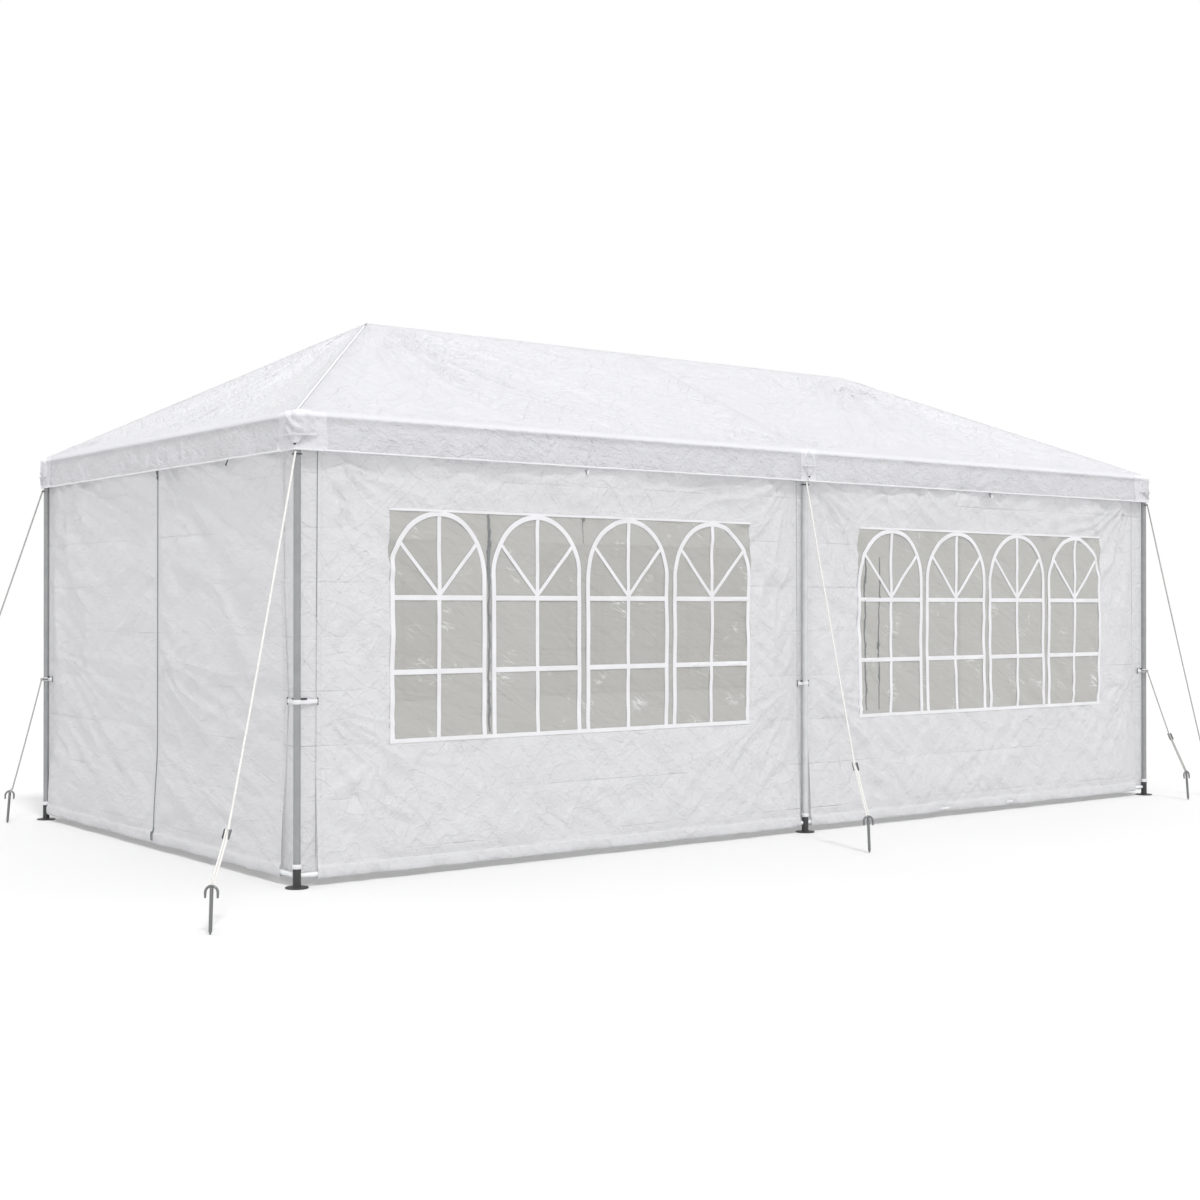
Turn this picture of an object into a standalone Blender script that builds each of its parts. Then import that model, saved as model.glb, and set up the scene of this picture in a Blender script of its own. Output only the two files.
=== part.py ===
"""Party marquee, 3 x 6 m, with a hipped roof, window walls and zipped end walls.

Frame: origin on the floor under the middle of the tent, +X along the long side, front at -Y, +Z up.
Every piece hangs on a frame of straight tube axes, and the canopy is that frame pushed outwards.
"""
import math

import bmesh
import bpy
import numpy
from mathutils import Matrix, Vector

# Driving dimensions, in metres
LENGTH = 6.0                # between the axes of the corner legs, long side
WIDTH = 3.0                 # between the axes of the corner legs, end
EAVE_AXIS = 2.015           # height of the eave rail axes
RIDGE_AXIS = 2.70           # height of the ridge pole axis
PEAK_INSET = 1.2            # from an end to the peak above it
HEM_HEIGHT = 1.862          # lower edge of the valance
WALL_BOTTOM = 0.030
CLOTH = 0.002               # canopy thickness
WALL_CLOTH = 0.003
FILM = 0.0015               # window film
GAP = 0.0003                # between pieces that touch
CORNER_GAP = 0.006          # between valances, where two pitches of roof come down to one corner

TUBE_RADIUS = 0.016
SLEEVE_RADIUS = 0.0175
SLEEVE_TOP = 0.086
SPIGOT_RADIUS = 0.013
SPIGOT_TOP = 0.014
FOOT_RADIUS = 0.050
FOOT_THICKNESS = 0.005
SOCKET_LENGTH = 0.08        # arm of a tube connector
BAR_RADIUS = 0.011          # ground bar
BAR_HEIGHT = 0.050
SIDES = 16                  # flats round a tube

WINDOW_WIDTH = 2.15
WINDOW_BOTTOM = 0.600
WINDOW_TOP = 1.628
FIRST_BAY_WINDOW = 1.46     # from the middle leg to the window's middle, front left and back right
SECOND_BAY_WINDOW = 1.50    # the same for the front right and back left windows

ROPE_RADIUS = 0.003
ROPE_POINTS = 13
ROPE_SAG = 0.016            # of its span
KNOT_RADIUS = 0.007
HITCH_SIDES = 8             # flats round the rope where it is tied to a leg
HITCH_REACH = 3             # flats of the leg that the rope covers each side of its knot
UPPER_TIE = 1.845           # height of the rope's knot under the hem
LOWER_TIE = 0.79
TENSIONER_WIDTH = 0.024
TENSIONER_THICKNESS = 0.008
TENSIONER_LENGTH = 0.044
STAKE_RADIUS = 0.006
STAKE_HEIGHT = 0.151        # up to the middle of the hook's arch
STAKE_LEAN = 0.013
HOOK_RADIUS = 0.021         # to the middle of the bent bar
HOOK_BAR_RADIUS = 0.005
HOOK_POINTS = 9             # round the arch
HOOK_ENDS = 0.012           # straight ends below the arch

HALF_LENGTH = LENGTH / 2
HALF_WIDTH = WIDTH / 2
PEAK_X = HALF_LENGTH - PEAK_INSET
CLOTH_INSIDE = TUBE_RADIUS + GAP
CLOTH_OUTSIDE = CLOTH_INSIDE + CLOTH
WALL_OFFSET = SLEEVE_RADIUS + GAP
WALL_TOP = EAVE_AXIS - TUBE_RADIUS
DOWN = Vector((0, 0, -1))


def remove_everything():
    for thing in list(bpy.data.objects):
        bpy.data.objects.remove(thing)


def make_material(name, colour, roughness, metallic=0.0):
    material = bpy.data.materials.new(name)
    material.use_nodes = True
    shader = material.node_tree.nodes["Principled BSDF"]
    shader.inputs["Base Color"].default_value = (*colour, 1.0)
    shader.inputs["Roughness"].default_value = roughness
    shader.inputs["Metallic"].default_value = metallic
    return material


def make_object(name, mesh, material):
    """Link a mesh as one named sub-part, shaded smooth round its curved sides."""
    mesh.materials.clear()
    mesh.materials.append(material)
    mesh.shade_smooth()
    mesh.set_sharp_from_angle(angle=math.radians(35))
    thing = bpy.data.objects.new(name, mesh)
    bpy.context.scene.collection.objects.link(thing)
    return thing


def mesh_from_bmesh(name, form):
    bmesh.ops.recalc_face_normals(form, faces=form.faces)
    mesh = bpy.data.meshes.new(name)
    form.to_mesh(mesh)
    form.free()
    return mesh


def turned_mesh(name, profile):
    """Solid turned about Z from (radius, height) points listed upwards."""
    form = bmesh.new()
    rings = []
    for radius, height in profile:
        ring = []
        for side in range(SIDES):
            angle = math.tau * side / SIDES
            ring.append(form.verts.new((radius * math.cos(angle), radius * math.sin(angle), height)))
        rings.append(ring)
    for lower, upper in zip(rings, rings[1:]):
        for side in range(SIDES):
            after = (side + 1) % SIDES
            form.faces.new((lower[side], lower[after], upper[after], upper[side]))
    form.faces.new(rings[0])
    form.faces.new(rings[-1])
    return mesh_from_bmesh(name, form)


def along(start, end):
    """Matrix that stands a turned solid at start, with its Z towards end."""
    direction = Vector(end) - Vector(start)
    return Matrix.Translation(start) @ direction.to_track_quat("Z", "Y").to_matrix().to_4x4()


def rod_mesh(name, start, end, radius):
    length = (Vector(end) - Vector(start)).length
    mesh = turned_mesh(name, [(radius, 0.0), (radius, length)])
    mesh.transform(along(start, end))
    return mesh


def ball_mesh(name, centre, radius):
    form = bmesh.new()
    bmesh.ops.create_icosphere(form, subdivisions=1, radius=radius, matrix=Matrix.Translation(centre))
    return mesh_from_bmesh(name, form)


def hitch_mesh(name, centre, outwards, radius, thickness):
    """Rope laid round the outer side of a tube: radius is to the middle of the rope."""
    flat = math.tau / SIDES
    middle = round(math.atan2(outwards.y, outwards.x) / flat)
    form = bmesh.new()
    sections = []
    for side in range(middle - HITCH_REACH, middle + HITCH_REACH + 1):
        angle = side * flat
        section = []
        for step in range(HITCH_SIDES):
            turn = math.tau * step / HITCH_SIDES
            reach = radius + thickness * math.cos(turn)
            height = thickness * math.sin(turn)
            section.append(form.verts.new((reach * math.cos(angle), reach * math.sin(angle), height)))
        sections.append(section)
    for section, following in zip(sections, sections[1:]):
        for step in range(HITCH_SIDES):
            after = (step + 1) % HITCH_SIDES
            form.faces.new((section[step], following[step], following[after], section[after]))
    form.faces.new(sections[0])
    form.faces.new(sections[-1])
    mesh = mesh_from_bmesh(name, form)
    mesh.transform(Matrix.Translation(centre))
    return mesh


def box_mesh(name, low, high):
    form = bmesh.new()
    size = Vector(high) - Vector(low)
    middle = (Vector(high) + Vector(low)) / 2
    bmesh.ops.create_cube(form, size=1.0, matrix=Matrix.Translation(middle) @ Matrix.Diagonal((*size, 1.0)))
    return mesh_from_bmesh(name, form)


def cord_mesh(name, points, radius):
    """Round bar along a list of points, with closed ends."""
    curve = bpy.data.curves.new(name, "CURVE")
    curve.dimensions = "3D"
    curve.bevel_depth = radius
    curve.bevel_resolution = 2
    curve.use_fill_caps = True
    spline = curve.splines.new("POLY")
    spline.points.add(len(points) - 1)
    for place, point in zip(spline.points, points):
        place.co = (*point, 1.0)
    carrier = bpy.data.objects.new(name, curve)
    bpy.context.scene.collection.objects.link(carrier)
    mesh = bpy.data.meshes.new_from_object(carrier.evaluated_get(bpy.context.evaluated_depsgraph_get()))
    bpy.data.objects.remove(carrier)
    return mesh


def combine(name, meshes, material, operation="UNION"):
    """One solid from several meshes: joined, or the first one with the others cut away."""
    result = make_object(name, meshes[0], material)
    tools = []
    for number, mesh in enumerate(meshes[1:]):
        tool = make_object(f"{name}_tool_{number}", mesh, material)
        tool.hide_render = True
        tool.display_type = "WIRE"
        tools.append(tool)
        modifier = result.modifiers.new(operation.title(), "BOOLEAN")
        modifier.operation = operation
        modifier.solver = "EXACT"
        modifier.object = tool
    evaluated = result.evaluated_get(bpy.context.evaluated_depsgraph_get())
    mesh = bpy.data.meshes.new_from_object(evaluated)
    for tool in tools:
        bpy.data.objects.remove(tool)
    bpy.data.objects.remove(result)
    return make_object(name, mesh, material)


# The frame

def towards(start, end, distance):
    """Point at a distance from start on the way to end."""
    return Vector(start) + (Vector(end) - Vector(start)).normalized() * distance


def eave_joint(side_x, side_y):
    """Where the leg, rails and rafter axes meet: side_x is -1, 0 or 1 and side_y is -1 or 1."""
    return Vector((side_x * HALF_LENGTH, side_y * HALF_WIDTH, EAVE_AXIS))


def ridge_joint(side_x):
    return Vector((side_x * PEAK_X, 0.0, RIDGE_AXIS))


def arms(name, joint, targets):
    """Socket arms of a connector, from its joint towards the joints that its tubes reach."""
    return [rod_mesh(f"{name}_arm_{number}", joint, towards(joint, target, SOCKET_LENGTH), TUBE_RADIUS)
            for number, target in enumerate(targets)]


def tube_between(name, start, end, material):
    """Straight tube whose ends stop a touch short of the socket arms at both joints."""
    first = towards(start, end, SOCKET_LENGTH + GAP)
    last = towards(end, start, SOCKET_LENGTH + GAP)
    return make_object(name, rod_mesh(name, first, last, TUBE_RADIUS), material)


def make_leg(name, side_x, side_y, material):
    """Leg tube with its foot plate, ground sleeve and the connector on its top."""
    joint = eave_joint(side_x, side_y)
    profile = [
        (FOOT_RADIUS, 0.0),
        (FOOT_RADIUS, FOOT_THICKNESS),
        (SPIGOT_RADIUS, FOOT_THICKNESS),
        (SPIGOT_RADIUS, SPIGOT_TOP),
        (SLEEVE_RADIUS, SPIGOT_TOP),
        (SLEEVE_RADIUS, SLEEVE_TOP),
        (TUBE_RADIUS, SLEEVE_TOP),
        (TUBE_RADIUS, EAVE_AXIS),
    ]
    upright = turned_mesh(name, profile)
    upright.transform(Matrix.Translation((joint.x, joint.y, 0.0)))
    if side_x == 0:
        left = towards(joint, eave_joint(-1, side_y), SOCKET_LENGTH)
        right = towards(joint, eave_joint(1, side_y), SOCKET_LENGTH)
        sockets = [rod_mesh(f"{name}_rail_sockets", left, right, TUBE_RADIUS)]
        sockets += arms(name, joint, [ridge_joint(0)])
    else:
        sockets = arms(name, joint, [eave_joint(0, side_y), eave_joint(side_x, -side_y), ridge_joint(side_x)])
    return combine(name, [upright] + sockets, material)


def make_frame(steel):
    rows = (("front", -1), ("back", 1))
    columns = (("left", -1), ("middle", 0), ("right", 1))
    for row, side_y in rows:
        for column, side_x in columns:
            make_leg(f"leg_{row}_{column}", side_x, side_y, steel)
            tube_between(f"rafter_{row}_{column}", eave_joint(side_x, side_y), ridge_joint(side_x), steel)
        for column, side_x in (("left", -1), ("right", 1)):
            tube_between(f"eave_rail_{row}_{column}", eave_joint(side_x, side_y), eave_joint(0, side_y), steel)
    for column, side_x in (("left", -1), ("right", 1)):
        tube_between(f"eave_rail_{column}_end", eave_joint(side_x, -1), eave_joint(side_x, 1), steel)
        name = f"peak_connector_{column}"
        peak = ridge_joint(side_x)
        targets = [ridge_joint(0), eave_joint(side_x, -1), eave_joint(side_x, 1)]
        combine(name, arms(name, peak, targets), steel)
    first = towards(ridge_joint(-1), ridge_joint(1), SOCKET_LENGTH + GAP)
    last = towards(ridge_joint(1), ridge_joint(-1), SOCKET_LENGTH + GAP)
    ridge = rod_mesh("ridge_pole", first, last, TUBE_RADIUS)
    side_arms = arms("ridge_pole", ridge_joint(0), [eave_joint(0, -1), eave_joint(0, 1)])
    combine("ridge_pole", [ridge] + side_arms, steel)


def make_ground_bars(white):
    """Bars that run from sleeve to sleeve through the hems of the walls."""
    reach = SLEEVE_RADIUS + GAP
    inset = SLEEVE_RADIUS - BAR_RADIUS
    for row, side_y in (("front", -1), ("back", 1)):
        y = side_y * (HALF_WIDTH - inset)
        for column, side_x in (("left", -1), ("right", 1)):
            name = f"ground_bar_{row}_{column}"
            start = (side_x * reach, y, BAR_HEIGHT)
            end = (side_x * (HALF_LENGTH - reach), y, BAR_HEIGHT)
            make_object(name, rod_mesh(name, start, end, BAR_RADIUS), white)
    for column, side_x in (("left", -1), ("right", 1)):
        name = f"ground_bar_{column}_end"
        x = side_x * (HALF_LENGTH - inset)
        start = (x, -HALF_WIDTH + reach, BAR_HEIGHT)
        end = (x, HALF_WIDTH - reach, BAR_HEIGHT)
        make_object(name, rod_mesh(name, start, end, BAR_RADIUS), white)


# The canopy

def plane_through(points, outward):
    """Unit normal and constant of the plane through three points, with the normal facing outward."""
    first, second, third = (numpy.array(point) for point in points)
    normal = numpy.cross(second - first, third - first)
    normal /= numpy.linalg.norm(normal)
    if normal @ numpy.array(outward) < 0:
        normal = -normal
    return normal, float(normal @ first)


def canopy_planes():
    """Axis planes of the four slopes and the four valances, by name."""
    planes = {}
    for name, side in (("front", -1), ("back", 1)):
        points = (eave_joint(-1, side), eave_joint(1, side), ridge_joint(0))
        planes[f"roof_{name}"] = plane_through(points, (0, side, 1))
        planes[f"valance_{name}"] = (numpy.array((0.0, side, 0.0)), HALF_WIDTH)
    for name, side in (("left", -1), ("right", 1)):
        points = (eave_joint(side, -1), eave_joint(side, 1), ridge_joint(side))
        planes[f"roof_{name}"] = plane_through(points, (side, 0, 1))
        planes[f"valance_{name}"] = (numpy.array((side, 0.0, 0.0)), HALF_LENGTH)
    return planes


def mitre(own, other, gap=GAP):
    """Plane that halves the fold between two cloth planes, moved half a gap to the own side."""
    normal = own[0] - other[0]
    length = numpy.linalg.norm(normal)
    return normal / length, (own[1] - other[1]) / length + gap / 2


def meeting_point(planes):
    normals = numpy.array([plane[0] for plane in planes])
    constants = numpy.array([plane[1] for plane in planes])
    return numpy.linalg.solve(normals, constants)


def cloth_mesh(name, own, borders):
    """Flat sheet between the inside and outside of the cloth, bounded by border planes in order."""
    form = bmesh.new()
    rings = []
    for offset in (CLOTH_INSIDE, CLOTH_OUTSIDE):
        level = (own[0], own[1] + offset)
        ring = []
        for number, border in enumerate(borders):
            after = borders[(number + 1) % len(borders)]
            ring.append(form.verts.new(meeting_point((level, border, after))))
        rings.append(ring)
    inner, outer = rings
    form.faces.new(inner)
    form.faces.new(outer)
    for number in range(len(inner)):
        after = (number + 1) % len(inner)
        form.faces.new((inner[number], inner[after], outer[after], outer[number]))
    return mesh_from_bmesh(name, form)


def make_canopy(cloth):
    planes = canopy_planes()
    neighbours = {
        "front": ("left", "back", "right"),
        "back": ("right", "front", "left"),
        "left": ("back", "front"),
        "right": ("front", "back"),
    }
    for side, others in neighbours.items():
        roof = planes[f"roof_{side}"]
        borders = [mitre(roof, planes[f"valance_{side}"])]
        borders += [mitre(roof, planes[f"roof_{other}"]) for other in others]
        make_object(f"roof_{side}", cloth_mesh(f"roof_{side}", roof, borders), cloth)
        valance = planes[f"valance_{side}"]
        borders = [
            (numpy.array((0.0, 0.0, 1.0)), HEM_HEIGHT),
            mitre(valance, planes[f"valance_{others[0]}"], CORNER_GAP),
            mitre(valance, roof),
            mitre(valance, planes[f"valance_{others[-1]}"], CORNER_GAP),
        ]
        make_object(f"valance_{side}", cloth_mesh(f"valance_{side}", valance, borders), cloth)


# The walls

def sheet_mesh(name, ends, face, heights, thickness):
    """Upright sheet along X: from one end to the other, thickness inwards from its outer face."""
    inner = face - math.copysign(thickness, face)
    low = (min(ends), min(face, inner), heights[0])
    high = (max(ends), max(face, inner), heights[1])
    return box_mesh(name, low, high)


def make_window_wall(row, column, window_middle, cloth, film_material):
    """Wall of one bay with its window cut through, and the film that closes the window."""
    side_y = -1 if row == "front" else 1
    side_x = -1 if column == "left" else 1
    face = side_y * (HALF_WIDTH - WALL_OFFSET)
    corner = side_x * (HALF_LENGTH - WALL_OFFSET - WALL_CLOTH - GAP)
    joint = side_x * GAP / 2
    sill = (WINDOW_BOTTOM, WINDOW_TOP)
    jambs = [side_x * window_middle + side * WINDOW_WIDTH / 2 for side in (-1, 1)]
    name = f"window_wall_{row}_{column}"
    panel = sheet_mesh(name, (corner, joint), face, (WALL_BOTTOM, WALL_TOP), WALL_CLOTH)
    hole = sheet_mesh(f"{name}_hole", jambs, side_y * HALF_WIDTH, sill, 2 * WALL_OFFSET)
    combine(name, [panel, hole], cloth, "DIFFERENCE")
    film = sheet_mesh(
        f"window_film_{row}_{column}",
        (jambs[0] + GAP, jambs[1] - GAP),
        face - side_y * (WALL_CLOTH - FILM) / 2,
        (sill[0] + GAP, sill[1] - GAP),
        FILM)
    make_object(f"window_film_{row}_{column}", film, film_material)


def make_end_walls(cloth):
    """Each end is two flaps that meet at the zip in the middle."""
    for column, side_x in (("left", -1), ("right", 1)):
        outside = side_x * (HALF_LENGTH - WALL_OFFSET)
        inside = outside - side_x * WALL_CLOTH
        for row, side_y in (("front", -1), ("back", 1)):
            corner = side_y * (HALF_WIDTH - WALL_OFFSET)
            zip_edge = side_y * GAP / 2
            name = f"end_flap_{column}_{row}"
            flap = box_mesh(
                name,
                (min(outside, inside), min(corner, zip_edge), WALL_BOTTOM),
                (max(outside, inside), max(corner, zip_edge), WALL_TOP))
            make_object(name, flap, cloth)


# The guy ropes

def rope_route(start, end):
    """Points of a taut rope that sags a little under its own weight."""
    drop = (end - start).length * ROPE_SAG
    points = []
    for number in range(ROPE_POINTS):
        share = number / (ROPE_POINTS - 1)
        point = start.lerp(end, share)
        points.append(point + DOWN * drop * 4 * share * (1 - share))
    return points


def hook_route(centre, across, up):
    """Bar bent over the stake's head, with its ends hanging on both sides."""
    points = [centre + across * HOOK_RADIUS - up * HOOK_ENDS]
    for number in range(HOOK_POINTS):
        turn = math.pi * number / (HOOK_POINTS - 1)
        points.append(centre + across * math.cos(turn) * HOOK_RADIUS + up * math.sin(turn) * HOOK_RADIUS)
    points.append(centre - across * HOOK_RADIUS - up * HOOK_ENDS)
    return points


def tensioner_mesh(name, start, direction):
    """Flat plate that the rope is threaded through, with its wide side level."""
    form = bmesh.new()
    size = Matrix.Diagonal((TENSIONER_THICKNESS, TENSIONER_WIDTH, TENSIONER_LENGTH, 1.0))
    bmesh.ops.create_cube(form, size=1.0, matrix=Matrix.Translation((0, 0, TENSIONER_LENGTH / 2)) @ size)
    mesh = mesh_from_bmesh(name, form)
    across = direction.cross(DOWN).normalized()
    facing = across.cross(direction).normalized()
    turned = Matrix((facing, across, direction)).transposed().to_4x4()
    mesh.transform(Matrix.Translation(start) @ turned)
    return mesh


def make_guy(name, leg, offset, tie_height, tensioner_share, material):
    """Rope tied round a leg, with its tensioner and the stake that it is hooked to, as one piece."""
    foot = Vector((leg[0] * HALF_LENGTH, leg[1] * HALF_WIDTH, 0.0))
    outwards = Vector((*offset, 0.0)).normalized()
    across = outwards.cross(DOWN)
    tip = foot + Vector((*offset, 0.0))
    head = tip - outwards * STAKE_LEAN + Vector((0, 0, STAKE_HEIGHT))
    up = (head - tip).normalized()
    crown = head + up * HOOK_RADIUS
    tie = foot + Vector((0, 0, tie_height))
    hitch_radius = TUBE_RADIUS + GAP + ROPE_RADIUS
    knot = tie + outwards * (hitch_radius + KNOT_RADIUS)
    route = rope_route(knot, head)
    slot = int(tensioner_share * (ROPE_POINTS - 1))
    run = (route[slot + 1] - route[slot]).normalized()
    lift = Vector((0, 0, STAKE_RADIUS * STAKE_LEAN / STAKE_HEIGHT))
    shaft = rod_mesh(f"{name}_stake", tip + lift, crown, STAKE_RADIUS)
    pieces = [
        shaft,
        cord_mesh(f"{name}_hook", hook_route(head, across, up), HOOK_BAR_RADIUS),
        cord_mesh(f"{name}_rope", route, ROPE_RADIUS),
        hitch_mesh(f"{name}_hitch", tie, outwards, hitch_radius, ROPE_RADIUS),
        ball_mesh(f"{name}_knot", knot, KNOT_RADIUS),
        tensioner_mesh(f"{name}_tensioner", route[slot], run),
    ]
    return combine(name, pieces, material)


def make_guys(rope):
    """The back and right ropes are the front and left ones turned half round the tent's middle."""
    corner, middle = (-0.74, -0.745), (-0.295, -0.746)
    make_guy("guy_front_left", (-1, -1), corner, UPPER_TIE, 0.85, rope)
    make_guy("guy_front_middle", (0, -1), middle, UPPER_TIE, 0.85, rope)
    make_guy("guy_back_right", (1, 1), (-corner[0], -corner[1]), UPPER_TIE, 0.85, rope)
    make_guy("guy_back_middle", (0, 1), (-middle[0], -middle[1]), UPPER_TIE, 0.85, rope)
    make_guy("guy_back_left_upper", (-1, 1), (-0.50, 0.50), UPPER_TIE, 0.85, rope)
    make_guy("guy_back_left_lower", (-1, 1), (-0.226, -0.022), LOWER_TIE, 0.6, rope)
    make_guy("guy_front_right_upper", (1, -1), (0.30, -0.30), UPPER_TIE, 0.85, rope)
    make_guy("guy_front_right_lower", (1, -1), (-0.03, -0.341), LOWER_TIE, 0.6, rope)


def build():
    remove_everything()
    cloth = make_material("white_cloth", (0.86, 0.86, 0.87), 0.45)
    film = make_material("window_film", (0.60, 0.60, 0.57), 0.20)
    steel = make_material("grey_steel", (0.45, 0.46, 0.47), 0.35, 0.7)
    white = make_material("white_tube", (0.82, 0.82, 0.82), 0.40)
    rope = make_material("rope_and_stake", (0.80, 0.79, 0.74), 0.80)
    make_frame(steel)
    make_ground_bars(white)
    make_canopy(cloth)
    for row, left_middle, right_middle in (
            ("front", FIRST_BAY_WINDOW, SECOND_BAY_WINDOW),
            ("back", SECOND_BAY_WINDOW, FIRST_BAY_WINDOW)):
        make_window_wall(row, "left", left_middle, cloth, film)
        make_window_wall(row, "right", right_middle, cloth, film)
    make_end_walls(cloth)
    make_guys(rope)


build()
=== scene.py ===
"""Looks of a white party marquee, 3 x 6 m: cloth, windows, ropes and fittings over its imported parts.

Frame: metres, origin on the floor under the middle of the tent, +X along the long side, front at -Y, +Z up.
A wall is followed from its left leg, seen from outside: along it, up it, and outwards from the leg axes.
"""

import itertools
import math

import bmesh
import bpy
import numpy as np
from mathutils import Matrix, Vector


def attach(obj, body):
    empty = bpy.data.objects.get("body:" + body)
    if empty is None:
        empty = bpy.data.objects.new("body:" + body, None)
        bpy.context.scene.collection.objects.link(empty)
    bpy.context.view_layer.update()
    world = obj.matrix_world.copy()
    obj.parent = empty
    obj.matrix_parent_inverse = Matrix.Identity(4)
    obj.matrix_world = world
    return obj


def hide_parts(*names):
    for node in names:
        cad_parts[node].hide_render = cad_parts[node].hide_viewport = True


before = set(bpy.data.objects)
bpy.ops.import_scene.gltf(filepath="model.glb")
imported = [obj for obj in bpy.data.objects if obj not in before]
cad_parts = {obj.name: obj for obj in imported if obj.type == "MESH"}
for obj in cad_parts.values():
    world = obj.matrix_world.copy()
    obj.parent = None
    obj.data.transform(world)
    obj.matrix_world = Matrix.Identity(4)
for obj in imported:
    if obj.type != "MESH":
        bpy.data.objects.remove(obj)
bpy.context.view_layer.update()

# Dimensions of the frame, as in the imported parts
LENGTH = 6.0
WIDTH = 3.0
HALF_LENGTH = LENGTH / 2
HALF_WIDTH = WIDTH / 2
BAY = LENGTH / 2
EAVE_AXIS = 2.015
RIDGE_AXIS = 2.70
PEAK_INSET = 1.2
PEAK_X = HALF_LENGTH - PEAK_INSET
HEM_HEIGHT = 1.862
TUBE_RADIUS = 0.016
SLEEVE_RADIUS = 0.0175
SLEEVE_TOP = 0.086
FOOT_RADIUS = 0.050
BAR_RADIUS = 0.011
BAR_OUT = BAR_RADIUS - SLEEVE_RADIUS    # the ground bar's axis, inside the leg axes

UP = np.array((0.0, 0.0, 1.0))
LONG_WALLS = ("front", "back")
# Each wall's left leg, the direction along it, and the direction out of the tent
WALLS = {
    "front": np.array(((-HALF_LENGTH, -HALF_WIDTH, 0), (1, 0, 0), (0, -1, 0))),
    "right": np.array(((HALF_LENGTH, -HALF_WIDTH, 0), (0, 1, 0), (1, 0, 0))),
    "back": np.array(((HALF_LENGTH, HALF_WIDTH, 0), (-1, 0, 0), (0, 1, 0))),
    "left": np.array(((-HALF_LENGTH, HALF_WIDTH, 0), (0, -1, 0), (-1, 0, 0))),
}
LEGS = [(row, column) for row in LONG_WALLS for column in ("left", "middle", "right")]


# Camera

CAMERA_PLACE = (-6.443, -8.086, 1.191)
CAMERA_YAW = math.radians(37.58)
CAMERA_PITCH = math.radians(0.26)
FOCAL_PIXELS = 1721.4
FRAME_PIXELS = 1200
SENSOR = 36.0


def make_camera():
    camera = bpy.data.cameras.new("camera")
    camera.sensor_width = SENSOR
    camera.lens = FOCAL_PIXELS * SENSOR / FRAME_PIXELS
    holder = bpy.data.objects.new("camera", camera)
    holder.location = CAMERA_PLACE
    holder.rotation_euler = (math.pi / 2 + CAMERA_PITCH, 0.0, -CAMERA_YAW)
    bpy.context.scene.collection.objects.link(holder)
    bpy.context.scene.camera = holder


# Building meshes

# Where a point lies on its sheet before it is folded: along, up, and which sheet
FLAT_PLACE = "flat_place"


def stacked(*parts):
    """Points from their coordinates, each an array or one value for all."""
    return np.stack(np.broadcast_arrays(*parts), axis=-1)


def unit(vectors):
    """Vectors, one or in rows, made 1 long."""
    return vectors / np.linalg.norm(vectors, axis=-1, keepdims=True)


def travelled(path):
    """Distance along a path of each of its points."""
    return np.concatenate(((0.0,), np.cumsum(np.linalg.norm(np.diff(path, axis=0), axis=1))))


def grid_faces(rows, columns, closed=False):
    """Quads between rows of points. Closed joins the last column to the first."""
    row = np.arange(rows - 1)[:, None]
    column = np.arange(columns if closed else columns - 1)[None, :]
    after = (column + 1) % columns
    corners = (row * columns + column, row * columns + after,
               (row + 1) * columns + after, (row + 1) * columns + column)
    return stacked(*corners).reshape(-1, 4).tolist()


class Shape:
    """Points and faces that are gathered into one mesh."""

    def __init__(self):
        self.points = []
        self.faces = []
        self.count = 0

    def add(self, points, faces):
        points = np.asarray(points, float).reshape(-1, 3)
        self.points.append(points)
        self.faces.extend([corner + self.count for corner in face] for face in faces)
        self.count += len(points)

    def sheet(self, points):
        """Open sheet from rows of points."""
        self.add(points, grid_faces(*points.shape[:2]))
        return self

    def solid(self, rings):
        """Rings of points joined one to the next, with flat ends."""
        rings = np.array(rings)
        count, sides = rings.shape[:2]
        last = (count - 1) * sides
        ends = [list(range(sides))[::-1], list(range(last, last + sides))]
        self.add(rings, grid_faces(count, sides, closed=True) + ends)

    def tube(self, path, section, spin=None, scale=None, side=None):
        """Section carried along a path, turned and scaled at each of its points."""
        path = np.asarray(path, float)
        tangents = unit(np.gradient(path, axis=0))
        if side is None:
            side = (0.0, 0.0, 1.0) if abs(tangents[0][2]) < 0.9 else (1.0, 0.0, 0.0)
        rings = []
        for number, (point, tangent) in enumerate(zip(path, tangents)):
            side = unit(side - tangent * (side @ tangent))
            outline = section if scale is None else section * scale[number]
            if spin is not None:
                cosine, sine = math.cos(spin[number]), math.sin(spin[number])
                outline = outline @ np.array(((cosine, sine), (-sine, cosine)))
            rings.append(point + outline[:, :1] * side + outline[:, 1:] * np.cross(tangent, side))
        self.solid(rings)

    def piece(self, name, material, slot, replaces=(), sharp=50, flat=None):
        """Put the mesh into the scene as a part of the frame's root."""
        mesh = bpy.data.meshes.new(name)
        mesh.from_pydata(np.concatenate(self.points).tolist(), [], self.faces)
        mesh.materials.append(material)
        mesh.shade_smooth()
        mesh.set_sharp_from_angle(angle=math.radians(sharp))
        if flat is not None:
            places = mesh.attributes.new(FLAT_PLACE, "FLOAT_VECTOR", "POINT")
            places.data.foreach_set("vector", np.ravel(flat).astype(np.float32))
        piece = bpy.data.objects.new(name, mesh)
        bpy.context.scene.collection.objects.link(piece)
        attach(piece, "root")
        if replaces:
            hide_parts(*replaces)
        return piece


def spaced(breaks, spacing):
    """Values that pass through every break and are about spacing apart in between."""
    values = [breaks[0]]
    for low, high in zip(breaks, breaks[1:]):
        count = max(1, round((high - low) / spacing))
        values.extend(np.linspace(low, high, count + 1)[1:])
    return np.array(values)


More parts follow.
